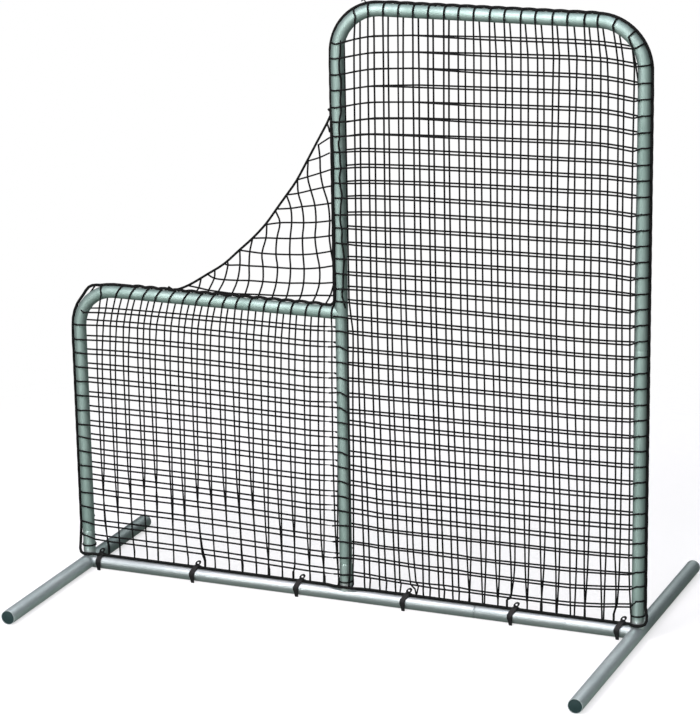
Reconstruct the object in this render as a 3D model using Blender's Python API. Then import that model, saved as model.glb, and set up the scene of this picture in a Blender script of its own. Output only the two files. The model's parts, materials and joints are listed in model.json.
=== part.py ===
"""Baseball L screen: a knock-down tube frame with a double net pulled over it.

Metres, +Z up. X runs along the screen, Y through it with the front at -Y, and the ground is z = 0.
The origin lies on the ground, half way between the two outer uprights.
"""

import math

import bmesh
import bpy
from mathutils import Matrix, Vector

MM = 0.001

# Overall size of the screen
SCREEN_WIDTH = 2134 * MM
SCREEN_HEIGHT = 2134 * MM
SHORT_SIDE_HEIGHT = 1076 * MM
CENTRE_FROM_LEFT = 1017 * MM

# Tube stock
BASE_TUBE_D = 50.8 * MM
HOOP_TUBE_D = 44.5 * MM
TUBE_WALL = 1.65 * MM
TUBE_SIDES = 24
BEND_STEPS = 8
TALL_BEND_R = 155 * MM
SHORT_BEND_R = 140 * MM

# Fits
GAP = 0.3 * MM
SLIP_FIT = 0.3 * MM
CUT_OVERRUN = 6 * MM

# Feet, and the share of each that lies in front of the screen
RIGHT_FOOT_LENGTH = 1360 * MM
RIGHT_FOOT_FRONT_SHARE = 0.5
LEFT_FOOT_LENGTH = 1076 * MM
LEFT_FOOT_FRONT_SHARE = 0.578
PLUG_LENGTH = 24 * MM
PLUG_WALL = 2.5 * MM
PLUG_RECESS = 1 * MM
PLUG_CROWN = 1.5 * MM
PLUG_RIM_SHARE = 0.78

# Seams of the uprights, and the swaged ends that slip inside the next tube
NECK_SEAM_Z = 144 * MM
RIGHT_SEAM_Z = 1026 * MM
LEG_BELOW_RAIL = 117 * MM
UPRIGHT_GRIP = 100 * MM
SHOULDER = 7 * MM
SHOULDER_BACK_SHARES = (1, 0.6, 0.3, 0)
SHOULDER_DROP_SHARES = (0, 0.2, 0.6, 1)
SWAGE_TAPER = 10 * MM

# Base rail: the loose link between its two long parts, as shares of the bay at the right of the post
LINK_START_SHARE = 0.453
LINK_END_SHARE = 0.767
LINK_GRIP = 60 * MM

# Snap buttons
BUTTON_D = 9.5 * MM
BUTTON_PROUD = 3.5 * MM
BUTTON_DOME = 2.5 * MM
BUTTON_CLEARANCE = 0.8 * MM
BUTTON_SIDES = 16
BUTTON_UP_LEG = 50 * MM
BUTTON_IN_RAIL = 30 * MM
SPRING_WIDTH = 10 * MM
SPRING_THICK = 0.8 * MM
SPRING_ARM = 45 * MM
SPRING_TOE = 8 * MM

# Ropes and cords
ROPE_D = 8.5 * MM
LACING_D = 3.5 * MM
LASHING_D = 3 * MM
RIGHT_LASHING_UP = 38 * MM
LEFT_LASHING_UP = 36 * MM
CENTRE_LASHING_UP = 24 * MM
ROPE_ON_RAIL_DEG = 74
ROPE_BEND_SIDES = 14
ROPE_TURN = 17 * MM
ROPE_LAP = 25 * MM
RAIL_ROPE_INSET = 27 * MM

# Net
NET_PITCH = 190 * MM
TWINE_WIDTH = 4 * MM
TWINE_THICK = 3 * MM
NET_STANDOFF = 0.9 * MM
NOTCH_TOP = 1742 * MM
NOTCH_REACH = 634 * MM
NOTCH_SAG = 92 * MM
NOTCH_CELLS = 4
NOTCH_STEPS = 14
NOTCH_INSET = 18 * MM

# Net clips on the base rail: one beside each foot, the others by shares of the bay on each side of the post
CLIP_FROM_LEFT = 46 * MM
CLIP_FROM_RIGHT = 58 * MM
LEFT_BAY_CLIP_SHARES = (0.426, 0.828)
RIGHT_BAY_CLIP_SHARES = (0.216, 0.587)
CLIP_WIDTH = 19 * MM
CLIP_THICK = 4.5 * MM
CLIP_TUNNEL_GAP = 0.5 * MM
CLIP_LIP = 10 * MM
CLIP_LEAN = 10 * MM
CLIP_LIP_DEG = 40
CLIP_FLARE_DEG = 24
CLIP_BACK_DEG = 205
CLIP_SIDES = 20
EYE_D = 20 * MM
EYE_HOLE_D = 8.5 * MM
EYE_SINK = 3 * MM
EYE_DEG = 80

# Worked out from the sizes above
LEFT_X = (HOOP_TUBE_D - SCREEN_WIDTH) / 2
RIGHT_X = -LEFT_X
CENTRE_X = LEFT_X + CENTRE_FROM_LEFT
BASE_R = BASE_TUBE_D / 2
HOOP_R = HOOP_TUBE_D / 2
CORNER_SHARE = 1 / math.cos(math.pi / TUBE_SIDES)
BASE_REACH = BASE_R * CORNER_SHARE
HOOP_REACH = HOOP_R * CORNER_SHARE
RAIL_Z = BASE_R
RAIL_TOP = BASE_TUBE_D
TOP_Z = SCREEN_HEIGHT - HOOP_R
SHORT_Z = SHORT_SIDE_HEIGHT - HOOP_R
CENTRE_SEAM_Z = SHORT_Z - LEG_BELOW_RAIL
LINK_START = CENTRE_X + (RIGHT_X - CENTRE_X) * LINK_START_SHARE
LINK_END = CENTRE_X + (RIGHT_X - CENTRE_X) * LINK_END_SHARE
RIGHT_LASHING_Z = RAIL_TOP + RIGHT_LASHING_UP
LEFT_LASHING_Z = RAIL_TOP + LEFT_LASHING_UP
CENTRE_LASHING_Z = RAIL_TOP + CENTRE_LASHING_UP
ROPE_R = ROPE_D / 2
ROPE_SIDE = HOOP_REACH + GAP + ROPE_R
NET_Y = HOOP_R + NET_STANDOFF + TWINE_THICK / 2
ROPE_SEAT = BASE_REACH + GAP + ROPE_R
ROPE_Y = -ROPE_SEAT * math.cos(math.radians(ROPE_ON_RAIL_DEG))
ROPE_Z = RAIL_Z + ROPE_SEAT * math.sin(math.radians(ROPE_ON_RAIL_DEG))

X_AXIS = Vector((1, 0, 0))
Y_AXIS = Vector((0, 1, 0))
Z_AXIS = Vector((0, 0, 1))
BACK_RIGHT = (X_AXIS + Y_AXIS).normalized()


# Materials

def material(name, colour, roughness, metallic=0.0):
    found = bpy.data.materials.get(name)
    if found:
        return found
    made = bpy.data.materials.new(name)
    made.use_nodes = True
    shader = made.node_tree.nodes["Principled BSDF"]
    shader.inputs["Base Color"].default_value = (*colour, 1)
    shader.inputs["Roughness"].default_value = roughness
    shader.inputs["Metallic"].default_value = metallic
    made.diffuse_color = (*colour, 1)
    return made


def frame_steel():
    return material("frame_steel", (0.36, 0.45, 0.42), 0.35, 0.8)


def base_steel():
    return material("base_steel", (0.42, 0.48, 0.47), 0.35, 0.8)


def neck_steel():
    return material("neck_steel", (0.62, 0.68, 0.67), 0.25, 0.9)


def spring_steel():
    return material("spring_steel", (0.5, 0.5, 0.52), 0.3, 1.0)


def plug_plastic():
    return material("plug_plastic", (0.05, 0.09, 0.09), 0.5)


def clip_plastic():
    return material("clip_plastic", (0.02, 0.02, 0.022), 0.45)


def twine_black():
    return material("twine_black", (0.012, 0.012, 0.014), 0.8)


def rope_black():
    return material("rope_black", (0.008, 0.008, 0.009), 0.75)


# Helpers

def clear_scene():
    for obj in list(bpy.data.objects):
        bpy.data.objects.remove(obj)


def finish(name, bm, look, place=None):
    """Turns a bmesh into a named object, shaded smooth between its sharp edges."""
    bmesh.ops.recalc_face_normals(bm, faces=bm.faces)
    mesh = bpy.data.meshes.new(name)
    bm.to_mesh(mesh)
    bm.free()
    mesh.shade_smooth()
    mesh.set_sharp_from_angle(angle=math.radians(35))
    mesh.materials.append(look)
    obj = bpy.data.objects.new(name, mesh)
    bpy.context.scene.collection.objects.link(obj)
    if place:
        obj.matrix_world = place
    return obj


def helper(obj):
    """Marks an object as a cutter or a guide, which isn't part of the screen."""
    obj.hide_render = True
    obj.display_type = "WIRE"
    return obj


def boolean(obj, other, operation):
    modifier = obj.modifiers.new(other.name, "BOOLEAN")
    modifier.operation = operation
    modifier.solver = "EXACT"
    modifier.object = other


def evaluated_mesh(obj):
    bpy.context.view_layer.update()
    return bpy.data.meshes.new_from_object(obj.evaluated_get(bpy.context.evaluated_depsgraph_get()))


def pointing(direction, at=(0, 0, 0)):
    """A frame at a place whose Z runs along a direction."""
    return Matrix.Translation(at) @ Vector(direction).to_track_quat("Z", "Y").to_matrix().to_4x4()


def corner_r(radius, sides):
    """The corner radius of a polygon whose flats lie at this radius."""
    return radius / math.cos(math.pi / sides)


def slim_r(radius):
    """The outer radius of a swaged end that slips inside a tube of this radius."""
    return radius - TUBE_WALL - SLIP_FIT


def ring(bm, frame, outer, inner, sides):
    """An annular face loop, flats down, from which a tube is drawn out."""
    turn = frame @ Matrix.Rotation(math.pi / sides, 4, "Z")
    loops = []
    for radius in (outer, inner):
        made = bmesh.ops.create_circle(bm, segments=sides, radius=corner_r(radius, sides), matrix=turn)
        loops += list({edge for vert in made["verts"] for edge in vert.link_edges})
    return bmesh.ops.bridge_loops(bm, edges=loops)["faces"]


def with_edges(faces):
    """The faces with their edges and corners, which the extrude and the spin need to clear the old end."""
    verts = {vert for face in faces for vert in face.verts}
    edges = {edge for face in faces for edge in face.edges}
    return list(verts) + list(edges) + list(faces)


def draw_out(bm, faces, offset):
    """Extrudes the tube's end faces by a vector and returns the new end faces."""
    made = bmesh.ops.extrude_face_region(bm, geom=with_edges(faces))["geom"]
    bmesh.ops.translate(bm, vec=offset, verts=[part for part in made if isinstance(part, bmesh.types.BMVert)])
    return [part for part in made if isinstance(part, bmesh.types.BMFace)]


def bend(bm, faces, centre, axis, angle):
    """Spins the tube's end faces about a bend's centre and returns the new end faces."""
    made = bmesh.ops.spin(bm, geom=with_edges(faces), cent=centre, axis=axis, angle=angle, steps=BEND_STEPS)
    return [part for part in made["geom_last"] if isinstance(part, bmesh.types.BMFace)]


def straight_tube(name, start, direction, length, radius, look, sides=TUBE_SIDES):
    bm = bmesh.new()
    faces = ring(bm, pointing(direction), radius, radius - TUBE_WALL, sides)
    draw_out(bm, faces, Vector(direction) * length)
    return finish(name, bm, look, Matrix.Translation(start))


def rod(name, start, direction, length, radius, sides=TUBE_SIDES):
    """A plain round cutter."""
    bm = bmesh.new()
    bmesh.ops.create_cone(bm, cap_ends=True, segments=sides, radius1=corner_r(radius, sides),
                          radius2=corner_r(radius, sides), depth=length,
                          matrix=pointing(direction, Vector(direction) * (length / 2))
                          @ Matrix.Rotation(math.pi / sides, 4, "Z"))
    return helper(finish(name, bm, base_steel(), Matrix.Translation(start)))


def cope(obj, name, start, direction, length, radius):
    """Cuts a tube's end to seat on a round tube, with the gap that the weld fills."""
    boolean(obj, rod(name, start, direction, length, radius + GAP), "DIFFERENCE")


def cord(name, points, diameter, look, cyclic=False, resolution=2):
    curve = bpy.data.curves.new(name, "CURVE")
    curve.dimensions = "3D"
    curve.bevel_depth = diameter / 2
    curve.bevel_resolution = resolution
    curve.use_fill_caps = True
    spline = curve.splines.new("POLY")
    spline.points.add(len(points) - 1)
    for point, place in zip(spline.points, points):
        point.co = (*place, 1)
    spline.use_cyclic_u = cyclic
    curve.materials.append(look)
    obj = bpy.data.objects.new(name, curve)
    bpy.context.scene.collection.objects.link(obj)
    return obj


def arc(centre, radius, first, last, steps):
    """Points of an arc in the screen's plane, by degrees from +X towards +Z."""
    points = []
    for step in range(steps + 1):
        angle = math.radians(first + (last - first) * step / steps)
        points.append(Vector((centre[0] + radius * math.cos(angle), 0, centre[1] + radius * math.sin(angle))))
    return points


# Frame

def tall_hoop():
    """One tube: from the right side's seam up, over the top and down past the short rail to the post's seam."""
    bm = bmesh.new()
    straight = TOP_Z - TALL_BEND_R
    faces = ring(bm, pointing(Z_AXIS), HOOP_R, HOOP_R - TUBE_WALL, TUBE_SIDES)
    bmesh.ops.translate(bm, vec=(RIGHT_X, 0, RIGHT_SEAM_Z), verts=bm.verts)
    faces = draw_out(bm, faces, Z_AXIS * (straight - RIGHT_SEAM_Z))
    faces = bend(bm, faces, (RIGHT_X - TALL_BEND_R, 0, straight), -Y_AXIS, math.pi / 2)
    faces = draw_out(bm, faces, -X_AXIS * (RIGHT_X - CENTRE_X - 2 * TALL_BEND_R))
    faces = bend(bm, faces, (CENTRE_X + TALL_BEND_R, 0, straight), -Y_AXIS, math.pi / 2)
    draw_out(bm, faces, -Z_AXIS * (straight - CENTRE_SEAM_Z))
    return finish("tall_hoop", bm, frame_steel())


def short_hoop():
    """One tube: up the left side and across to the tall hoop's leg, where its end is coped."""
    bm = bmesh.new()
    straight = SHORT_Z - SHORT_BEND_R
    faces = ring(bm, pointing(Z_AXIS), HOOP_R, HOOP_R - TUBE_WALL, TUBE_SIDES)
    bmesh.ops.translate(bm, vec=(LEFT_X, 0, NECK_SEAM_Z), verts=bm.verts)
    faces = draw_out(bm, faces, Z_AXIS * (straight - NECK_SEAM_Z))
    faces = bend(bm, faces, (LEFT_X + SHORT_BEND_R, 0, straight), Y_AXIS, math.pi / 2)
    draw_out(bm, faces, X_AXIS * (CENTRE_X - LEFT_X - SHORT_BEND_R))
    hoop = finish("short_hoop", bm, frame_steel())
    cope(hoop, "cut_short_rail_end", (CENTRE_X, 0, SHORT_Z - HOOP_TUBE_D), Z_AXIS, 2 * HOOP_TUBE_D, HOOP_R)
    return hoop


def swaged_end(radius, grip, end, outwards):
    """Half outlines, outer and inner, of a tube's end that is swaged down over a shoulder to enter the next tube."""
    slim = slim_r(radius)
    outer = [(end - outwards * SHOULDER * back, radius + (slim - radius) * drop)
             for back, drop in zip(SHOULDER_BACK_SHARES, SHOULDER_DROP_SHARES)]
    inner = [(end - outwards * (SHOULDER + SWAGE_TAPER), radius - TUBE_WALL),
             (end - outwards * SHOULDER, slim - TUBE_WALL), (end + outwards * grip, slim - TUBE_WALL)]
    return outer + [(end + outwards * grip, slim)], inner


def swaged_tube(name, start, direction, length, radius, grip, look, both=False):
    """A turned tube with its far end, or both ends, swaged. Its length is taken between the seams."""
    outer, inner = swaged_end(radius, grip, length, 1)
    if both:
        first_outer, first_inner = swaged_end(radius, grip, 0, -1)
    else:
        first_outer, first_inner = [(0, radius)], [(0, radius - TUBE_WALL)]
    outline = first_outer[::-1] + outer + inner[::-1] + first_inner
    bm = bmesh.new()
    turn = pointing(direction) @ Matrix.Rotation(math.pi / TUBE_SIDES, 4, "Z")
    verts = [bm.verts.new(turn @ Vector((corner_r(across, TUBE_SIDES), 0, along))) for along, across in outline]
    edges = [bm.edges.new(pair) for pair in zip(verts, verts[1:] + verts[:1])]
    bmesh.ops.spin(bm, geom=verts + edges, cent=(0, 0, 0), axis=direction, angle=2 * math.pi,
                   steps=TUBE_SIDES, use_merge=True)
    return finish(name, bm, look, Matrix.Translation(start))


def upright(name, x, seam):
    """A straight upright that slips over the neck and enters the tube above it."""
    return swaged_tube(name, (x, 0, NECK_SEAM_Z), Z_AXIS, seam - NECK_SEAM_Z, HOOP_R, UPRIGHT_GRIP, frame_steel())


def foot(side, x, length, front_share):
    """A foot's tube across the screen, with the plugs in its two ends."""
    front = -length * front_share
    straight_tube(side + "_foot", (x, front, RAIL_Z), Y_AXIS, length, BASE_R, base_steel())
    end_plug(side + "_foot_plug_front", (x, front + PLUG_RECESS, RAIL_Z), Y_AXIS)
    end_plug(side + "_foot_plug_back", (x, front + length - PLUG_RECESS, RAIL_Z), -Y_AXIS)


def end_plug(name, place, inwards):
    """A cup-shaped plug with a low crown on its face, open towards the inside of the tube."""
    radius = BASE_R - TUBE_WALL - GAP
    bm = bmesh.new()
    rim = radius * PLUG_RIM_SHARE
    profile = [(0, PLUG_WALL), (radius - PLUG_WALL, PLUG_WALL), (radius - PLUG_WALL, PLUG_LENGTH),
               (radius, PLUG_LENGTH), (radius, 0), (rim, 0), (rim - PLUG_CROWN, -PLUG_CROWN + PLUG_RECESS),
               (0, -PLUG_CROWN + PLUG_RECESS)]
    verts = [bm.verts.new((across, 0, depth)) for across, depth in profile]
    edges = [bm.edges.new(pair) for pair in zip(verts, verts[1:])]
    bmesh.ops.spin(bm, geom=verts + edges, cent=(0, 0, 0), axis=Z_AXIS, angle=2 * math.pi,
                   steps=TUBE_SIDES, use_merge=True)
    bmesh.ops.remove_doubles(bm, verts=bm.verts, dist=GAP / TUBE_SIDES)
    return finish(name, bm, plug_plastic(), pointing(inwards, place))


def neck(name, x):
    """A short tube welded upright on the foot or the rail, whose swaged end enters the upright."""
    made = swaged_tube(name, (x, 0, RAIL_Z), Z_AXIS, NECK_SEAM_Z - RAIL_Z, HOOP_R, UPRIGHT_GRIP, neck_steel())
    along = X_AXIS if x == CENTRE_X else Y_AXIS
    place = Vector((x, 0, RAIL_Z)) - along * BASE_TUBE_D
    cope(made, "cut_" + name, place, along, 2 * BASE_TUBE_D, BASE_R)
    return made


def base_rail(name, start, end, foot_x):
    """A length of the base rail, coped at one end to its foot and to the neck that stands on the foot."""
    rail = straight_tube(name, (start, 0, RAIL_Z), X_AXIS, end - start, BASE_R, base_steel())
    cope(rail, "cut_foot_" + name, (foot_x, -BASE_TUBE_D, RAIL_Z), Y_AXIS, 2 * BASE_TUBE_D, BASE_R)
    cope(rail, "cut_neck_" + name, (foot_x, 0, RAIL_Z), Z_AXIS, BASE_TUBE_D, HOOP_R)
    return rail


def base_rail_link():
    """The loose middle tube, whose two swaged ends slip into the rails on either side."""
    return swaged_tube("base_rail_link", (LINK_START, 0, RAIL_Z), X_AXIS, LINK_END - LINK_START, BASE_R, LINK_GRIP,
                       base_steel(), both=True)


# Snap buttons

def snap_button(name, place, out, down, inner_r, outer_r, tubes):
    """A dome on a sprung arm inside a tube, the fixed arm behind it, and the holes that it comes through.

    out points through the wall, down along the tube to the fold of the spring, and the origin of the
    moving arm lies at that fold, about which it swings.
    """
    arm_out = math.sqrt(inner_r ** 2 - (SPRING_WIDTH / 2) ** 2) - GAP
    arm_in = arm_out - SPRING_THICK
    fold = Vector(place) + down * SPRING_ARM + out * (arm_in + arm_out) / 2
    across = out.cross(down)
    frame = Matrix.Translation(fold) @ Matrix((across, -down, out)).transposed().to_4x4()
    make_button(name, frame, outer_r + BUTTON_PROUD - (arm_in + arm_out) / 2)
    make_fixed_arm(name + "_spring", frame, arm_in + arm_out)
    start = Vector(place) + out * (inner_r - CUT_OVERRUN)
    hole = rod("hole_" + name, start, out, outer_r - inner_r + 2 * CUT_OVERRUN,
               BUTTON_D / 2 + BUTTON_CLEARANCE, BUTTON_SIDES)
    for tube in tubes:
        boolean(tube, hole, "DIFFERENCE")


def strip(bm, corners, width):
    """A flat strip of spring steel from its edge-on outline, in a plane across X."""
    verts = [bm.verts.new((-width / 2, along, up)) for along, up in corners]
    face = bm.faces.new(verts)
    made = bmesh.ops.extrude_face_region(bm, geom=[face])["geom"]
    bmesh.ops.translate(bm, vec=X_AXIS * width, verts=[part for part in made if isinstance(part, bmesh.types.BMVert)])


def make_button(name, frame, height):
    """The moving arm: a strip that carries the domed button near its free end."""
    bm = bmesh.new()
    half = SPRING_THICK / 2
    strip(bm, [(0, -half), (SPRING_ARM + SPRING_TOE, -half), (SPRING_ARM + SPRING_TOE, half), (0, half)],
          SPRING_WIDTH)
    arm = helper(finish(name + "_arm", bm, spring_steel()))
    bm = bmesh.new()
    radius = BUTTON_D / 2
    profile = [(radius, 0), (radius, height - BUTTON_DOME)]
    for turn in (30, 60):
        angle = math.radians(turn)
        profile.append((radius * math.cos(angle), height - BUTTON_DOME * (1 - math.sin(angle))))
    verts = [bm.verts.new((0, -across, up)) for across, up in [(0, 0)] + profile + [(0, height)]]
    edges = [bm.edges.new(pair) for pair in zip(verts, verts[1:])]
    bmesh.ops.spin(bm, geom=verts + edges, cent=(0, 0, 0), axis=Z_AXIS, angle=2 * math.pi,
                   steps=BUTTON_SIDES, use_merge=True)
    bmesh.ops.remove_doubles(bm, verts=bm.verts, dist=GAP / BUTTON_SIDES)
    bmesh.ops.translate(bm, vec=Y_AXIS * SPRING_ARM, verts=bm.verts)
    dome = helper(finish(name + "_dome", bm, spring_steel()))
    boolean(dome, arm, "UNION")
    button = bpy.data.objects.new(name, evaluated_mesh(dome))
    bpy.context.scene.collection.objects.link(button)
    for done in (dome, arm):
        bpy.data.objects.remove(done)
    button.matrix_world = frame
    return button


def make_fixed_arm(name, frame, reach):
    """The other arm of the spring, from the fold across to the far wall."""
    half = SPRING_THICK / 2
    start = -half - GAP
    bm = bmesh.new()
    strip(bm, [(0, start), (0, start - SPRING_THICK), (SPRING_ARM, start - reach + GAP + SPRING_THICK),
               (SPRING_ARM + SPRING_TOE, start - reach + GAP + SPRING_THICK),
               (SPRING_ARM + SPRING_TOE, start - reach + GAP + 2 * SPRING_THICK),
               (SPRING_ARM, start - reach + GAP + 2 * SPRING_THICK)], SPRING_WIDTH)
    return finish(name, bm, spring_steel(), frame)


def upright_button(name, x, seam, upper, lower):
    """A button above an upright's seam, through the tube and the swaged end inside it."""
    snap_button(name, (x, 0, seam + BUTTON_UP_LEG), BACK_RIGHT, -Z_AXIS, slim_r(HOOP_R) - TUBE_WALL, HOOP_R,
                [upper, lower])


def rail_button(name, seam, down, rail, link):
    snap_button(name, (seam - down.x * BUTTON_IN_RAIL, 0, RAIL_Z), Y_AXIS, down, slim_r(BASE_R) - TUBE_WALL, BASE_R,
                [rail, link])


# Net clips

def polar(radius, degrees):
    """A place round the rail, as (y, z) from its axis: 0 degrees is the front and 90 the top."""
    angle = math.radians(degrees)
    return Vector((0, -radius * math.cos(angle), radius * math.sin(angle)))


def clip_spine():
    """The middle line of the clip's strap: lip, front, over the rope and down the back of the rail."""
    hug = corner_r(BASE_REACH + GAP, CLIP_SIDES) + CLIP_THICK / 2
    rope = polar(ROPE_SEAT, ROPE_ON_RAIL_DEG)
    over = ROPE_R + CLIP_TUNNEL_GAP + CLIP_THICK / 2
    points = [polar(hug + CLIP_LIP, -CLIP_LIP_DEG)]
    front = range(-CLIP_LIP_DEG + CLIP_FLARE_DEG, ROPE_ON_RAIL_DEG - CLIP_FLARE_DEG, 16)
    points += [polar(hug, degrees) for degrees in front]
    for turn in (-70, -35, 0, 35, 70):
        points.append(rope + polar(over, ROPE_ON_RAIL_DEG + turn))
    back = range(ROPE_ON_RAIL_DEG + CLIP_FLARE_DEG, CLIP_BACK_DEG, 18)
    points += [polar(hug, degrees) for degrees in back]
    points.append(polar(hug, CLIP_BACK_DEG))
    return points


def clip_mesh():
    """A spring strap round the rail with a tunnel for the rope and an eye on top, leaning as the net pulls."""
    points = clip_spine()
    bm = bmesh.new()
    sides = ([], [])
    for index, point in enumerate(points):
        before = points[max(index - 1, 0)]
        after = points[min(index + 1, len(points) - 1)]
        across = (after - before).cross(X_AXIS).normalized() * (CLIP_THICK / 2)
        sides[0].append(point + across)
        sides[1].append(point - across)
    outline = sides[0] + sides[1][::-1]
    verts = [bm.verts.new(point - X_AXIS * (CLIP_WIDTH / 2)) for point in outline]
    start = bmesh.ops.contextual_create(bm, geom=[bm.edges.new(pair) for pair in zip(verts, verts[1:] + verts[:1])])
    draw_out(bm, start["faces"], X_AXIS * CLIP_WIDTH)
    bmesh.ops.triangulate(bm, faces=[face for face in bm.faces if len(face.verts) > 4])
    strap = helper(finish("clip_strap", bm, clip_plastic()))
    rope_top = ROPE_SEAT + ROPE_R + CLIP_TUNNEL_GAP + CLIP_THICK
    eye_at = polar(rope_top + EYE_D / 2 - EYE_SINK, EYE_DEG)
    bm = bmesh.new()
    faces = ring(bm, pointing(Y_AXIS), EYE_D / 2, EYE_HOLE_D / 2, BUTTON_SIDES)
    draw_out(bm, faces, Y_AXIS * CLIP_THICK)
    bmesh.ops.translate(bm, vec=eye_at - Y_AXIS * (CLIP_THICK / 2), verts=bm.verts)
    eye = helper(finish("clip_eye", bm, clip_plastic()))
    boolean(strap, eye, "UNION")
    mesh = evaluated_mesh(strap)
    for vert in mesh.vertices:
        vert.co.x += CLIP_LEAN * (vert.co.z / eye_at.z) ** 2
    for done in (strap, eye):
        bpy.data.objects.remove(done)
    return mesh


def clip_places():
    left = [LEFT_X + (CENTRE_X - LEFT_X) * share for share in LEFT_BAY_CLIP_SHARES]
    right = [CENTRE_X + (RIGHT_X - CENTRE_X) * share for share in RIGHT_BAY_CLIP_SHARES]
    return [LEFT_X + CLIP_FROM_LEFT, *left, *right, RIGHT_X - CLIP_FROM_RIGHT]


def net_clips():
    mesh = clip_mesh()
    for index, x in enumerate(clip_places()):
        clip = bpy.data.objects.new(f"net_clip_{index + 1}", mesh)
        clip.location = (x, 0, RAIL_Z)
        bpy.context.scene.collection.objects.link(clip)


# Net

def into_corner(x, z, centre, radius, side):
    """Pulls a point of a square corner in to the round corner of the hoop."""
    across = (x - centre[0]) * side / radius
    up = (z - centre[1]) / radius
    if across <= 0 or up <= 0:
        return x, z
    return (centre[0] + side * radius * across * math.sqrt(1 - up * up / 2),
            centre[1] + radius * up * math.sqrt(1 - across * across / 2))


def even_rows(low, high):
    count = round((high - low) / NET_PITCH)
    return [low + (high - low) * step / count for step in range(count + 1)]


def twine_columns(low, high):
    """Twines that stand between the clips, two to each clip's pitch, and one on each edge."""
    places = clip_places()
    found = []
    for before, after in zip(places, places[1:]):
        found += [before + (after - before) / 4, after - (after - before) / 4]
    return [low] + [x for x in found if low + HOOP_TUBE_D < x < high - HOOP_TUBE_D] + [high]


def net_panel(name, columns, rows, place, open_row=True):
    """A net of square twines: a grid whose faces are inset and opened, and thickened by a modifier."""
    bm = bmesh.new()
    bmesh.ops.create_grid(bm, x_segments=len(columns) - 1, y_segments=len(rows) - 1, size=1)
    lowest = set()
    for vert in bm.verts:
        column = round((vert.co.x + 1) / 2 * (len(columns) - 1))
        row = round((vert.co.y + 1) / 2 * (len(rows) - 1))
        vert.co = place(columns[column], rows[row], row)
        if row == 0:
            lowest.add(vert)
    bm.normal_update()
    cells = list(bm.faces)
    bmesh.ops.inset_individual(bm, faces=cells, thickness=TWINE_WIDTH / 2, use_even_offset=True)
    bmesh.ops.delete(bm, geom=cells, context="FACES_ONLY")
    if open_row:
        hem = [face for face in bm.faces if len(lowest.intersection(face.verts)) == 2]
        bmesh.ops.delete(bm, geom=hem, context="FACES")
    net = finish(name, bm, twine_black())
    thicken = net.modifiers.new("twine", "SOLIDIFY")
    thicken.thickness = TWINE_THICK
    thicken.offset = 0
    return net


def tied_at(x, side):
    """Where a twine ends: at the rope on the rail, or above the lashing on an upright."""
    for axis, lashed in ((LEFT_X, LEFT_LASHING_Z), (CENTRE_X, CENTRE_LASHING_Z), (RIGHT_X, RIGHT_LASHING_Z)):
        if abs(x - axis) < HOOP_TUBE_D:
            return Vector((x, side * NET_Y, lashed + LASHING_D))
    away = (ROPE_R + GAP + TWINE_THICK) / math.sqrt(2)
    return Vector((x, ROPE_Y + side * away, ROPE_Z + away))


def layer_panels(layer, side):
    """The tall and the short panel of one layer of the net, in front of the tubes or behind them."""
    def tall(x, z, row):
        if row == 0:
            return tied_at(x, side)
        straight = TOP_Z - TALL_BEND_R
        x, z = into_corner(x, z, (RIGHT_X - TALL_BEND_R, straight), TALL_BEND_R, 1)
        x, z = into_corner(x, z, (CENTRE_X + TALL_BEND_R, straight), TALL_BEND_R, -1)
        return Vector((x, side * NET_Y, z))

    def short(x, z, row):
        if row == 0:
            return tied_at(x, side)
        x, z = into_corner(x, z, (LEFT_X + SHORT_BEND_R, SHORT_Z - SHORT_BEND_R), SHORT_BEND_R, -1)
        return Vector((x, side * NET_Y, z))

    net_panel(f"net_{layer}_tall", twine_columns(CENTRE_X, RIGHT_X), even_rows(RAIL_TOP, TOP_Z), tall)
    net_panel(f"net_{layer}_short", twine_columns(LEFT_X, CENTRE_X - 4 * GAP), even_rows(RAIL_TOP, SHORT_Z), short)


def notch_curve(share, inside=0):
    """The sagging edge of the notch net, from the leg down to the short rail.

    inside draws its two ends in along the tubes, for the net's own edge within the rope.
    """
    edge = ROPE_SIDE + ROPE_D + GAP
    top = Vector((CENTRE_X - edge, 0, NOTCH_TOP - inside))
    low = Vector((CENTRE_X - NOTCH_REACH + inside, 0, SHORT_Z + edge))
    inwards = (low - top).cross(Y_AXIS).normalized()
    return top.lerp(low, share) + inwards * (4 * NOTCH_SAG * share * (1 - share))


def notch_net():
    """A single layer across the inside corner of the L, between the two tubes and its sagging edge rope."""
    edge = ROPE_SIDE + ROPE_R + 2 * GAP
    corner = Vector((CENTRE_X - edge, 0, SHORT_Z + edge))
    steps = [step / NOTCH_CELLS for step in range(NOTCH_CELLS + 1)]
    inside = NOTCH_INSET
    top = notch_curve(0, inside)
    low = notch_curve(1, inside)
    half = notch_curve(1 / 2, inside)
    top.x = corner.x
    low.z = corner.z
    pull = (ROPE_TURN - ROPE_R) * (1 - math.sqrt(1 / 2)) + GAP

    def place(across, up, row):
        if not across and not up:
            return corner + (Z_AXIS - X_AXIS) * pull
        leg = corner.lerp(top, up)
        rail = corner.lerp(low, across)
        far = notch_curve(1 - up / 2, inside) if up else low
        high = notch_curve(across / 2, inside) if across else top
        corners = (corner * (1 - across) * (1 - up) + low * across * (1 - up)
                   + top * (1 - across) * up + half * across * up)
        return (leg * (1 - across) + far * across) + (rail * (1 - up) + high * up) - corners

    net_panel("net_notch", steps, steps, place, open_row=False)


# Ropes and cords

def round_upright(x, angle, radius, z):
    """A place round an upright: 0 degrees is its right side and -90 its front."""
    turn = math.radians(angle)
    return Vector((x + radius * math.cos(turn), radius * math.sin(turn), z))


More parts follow.
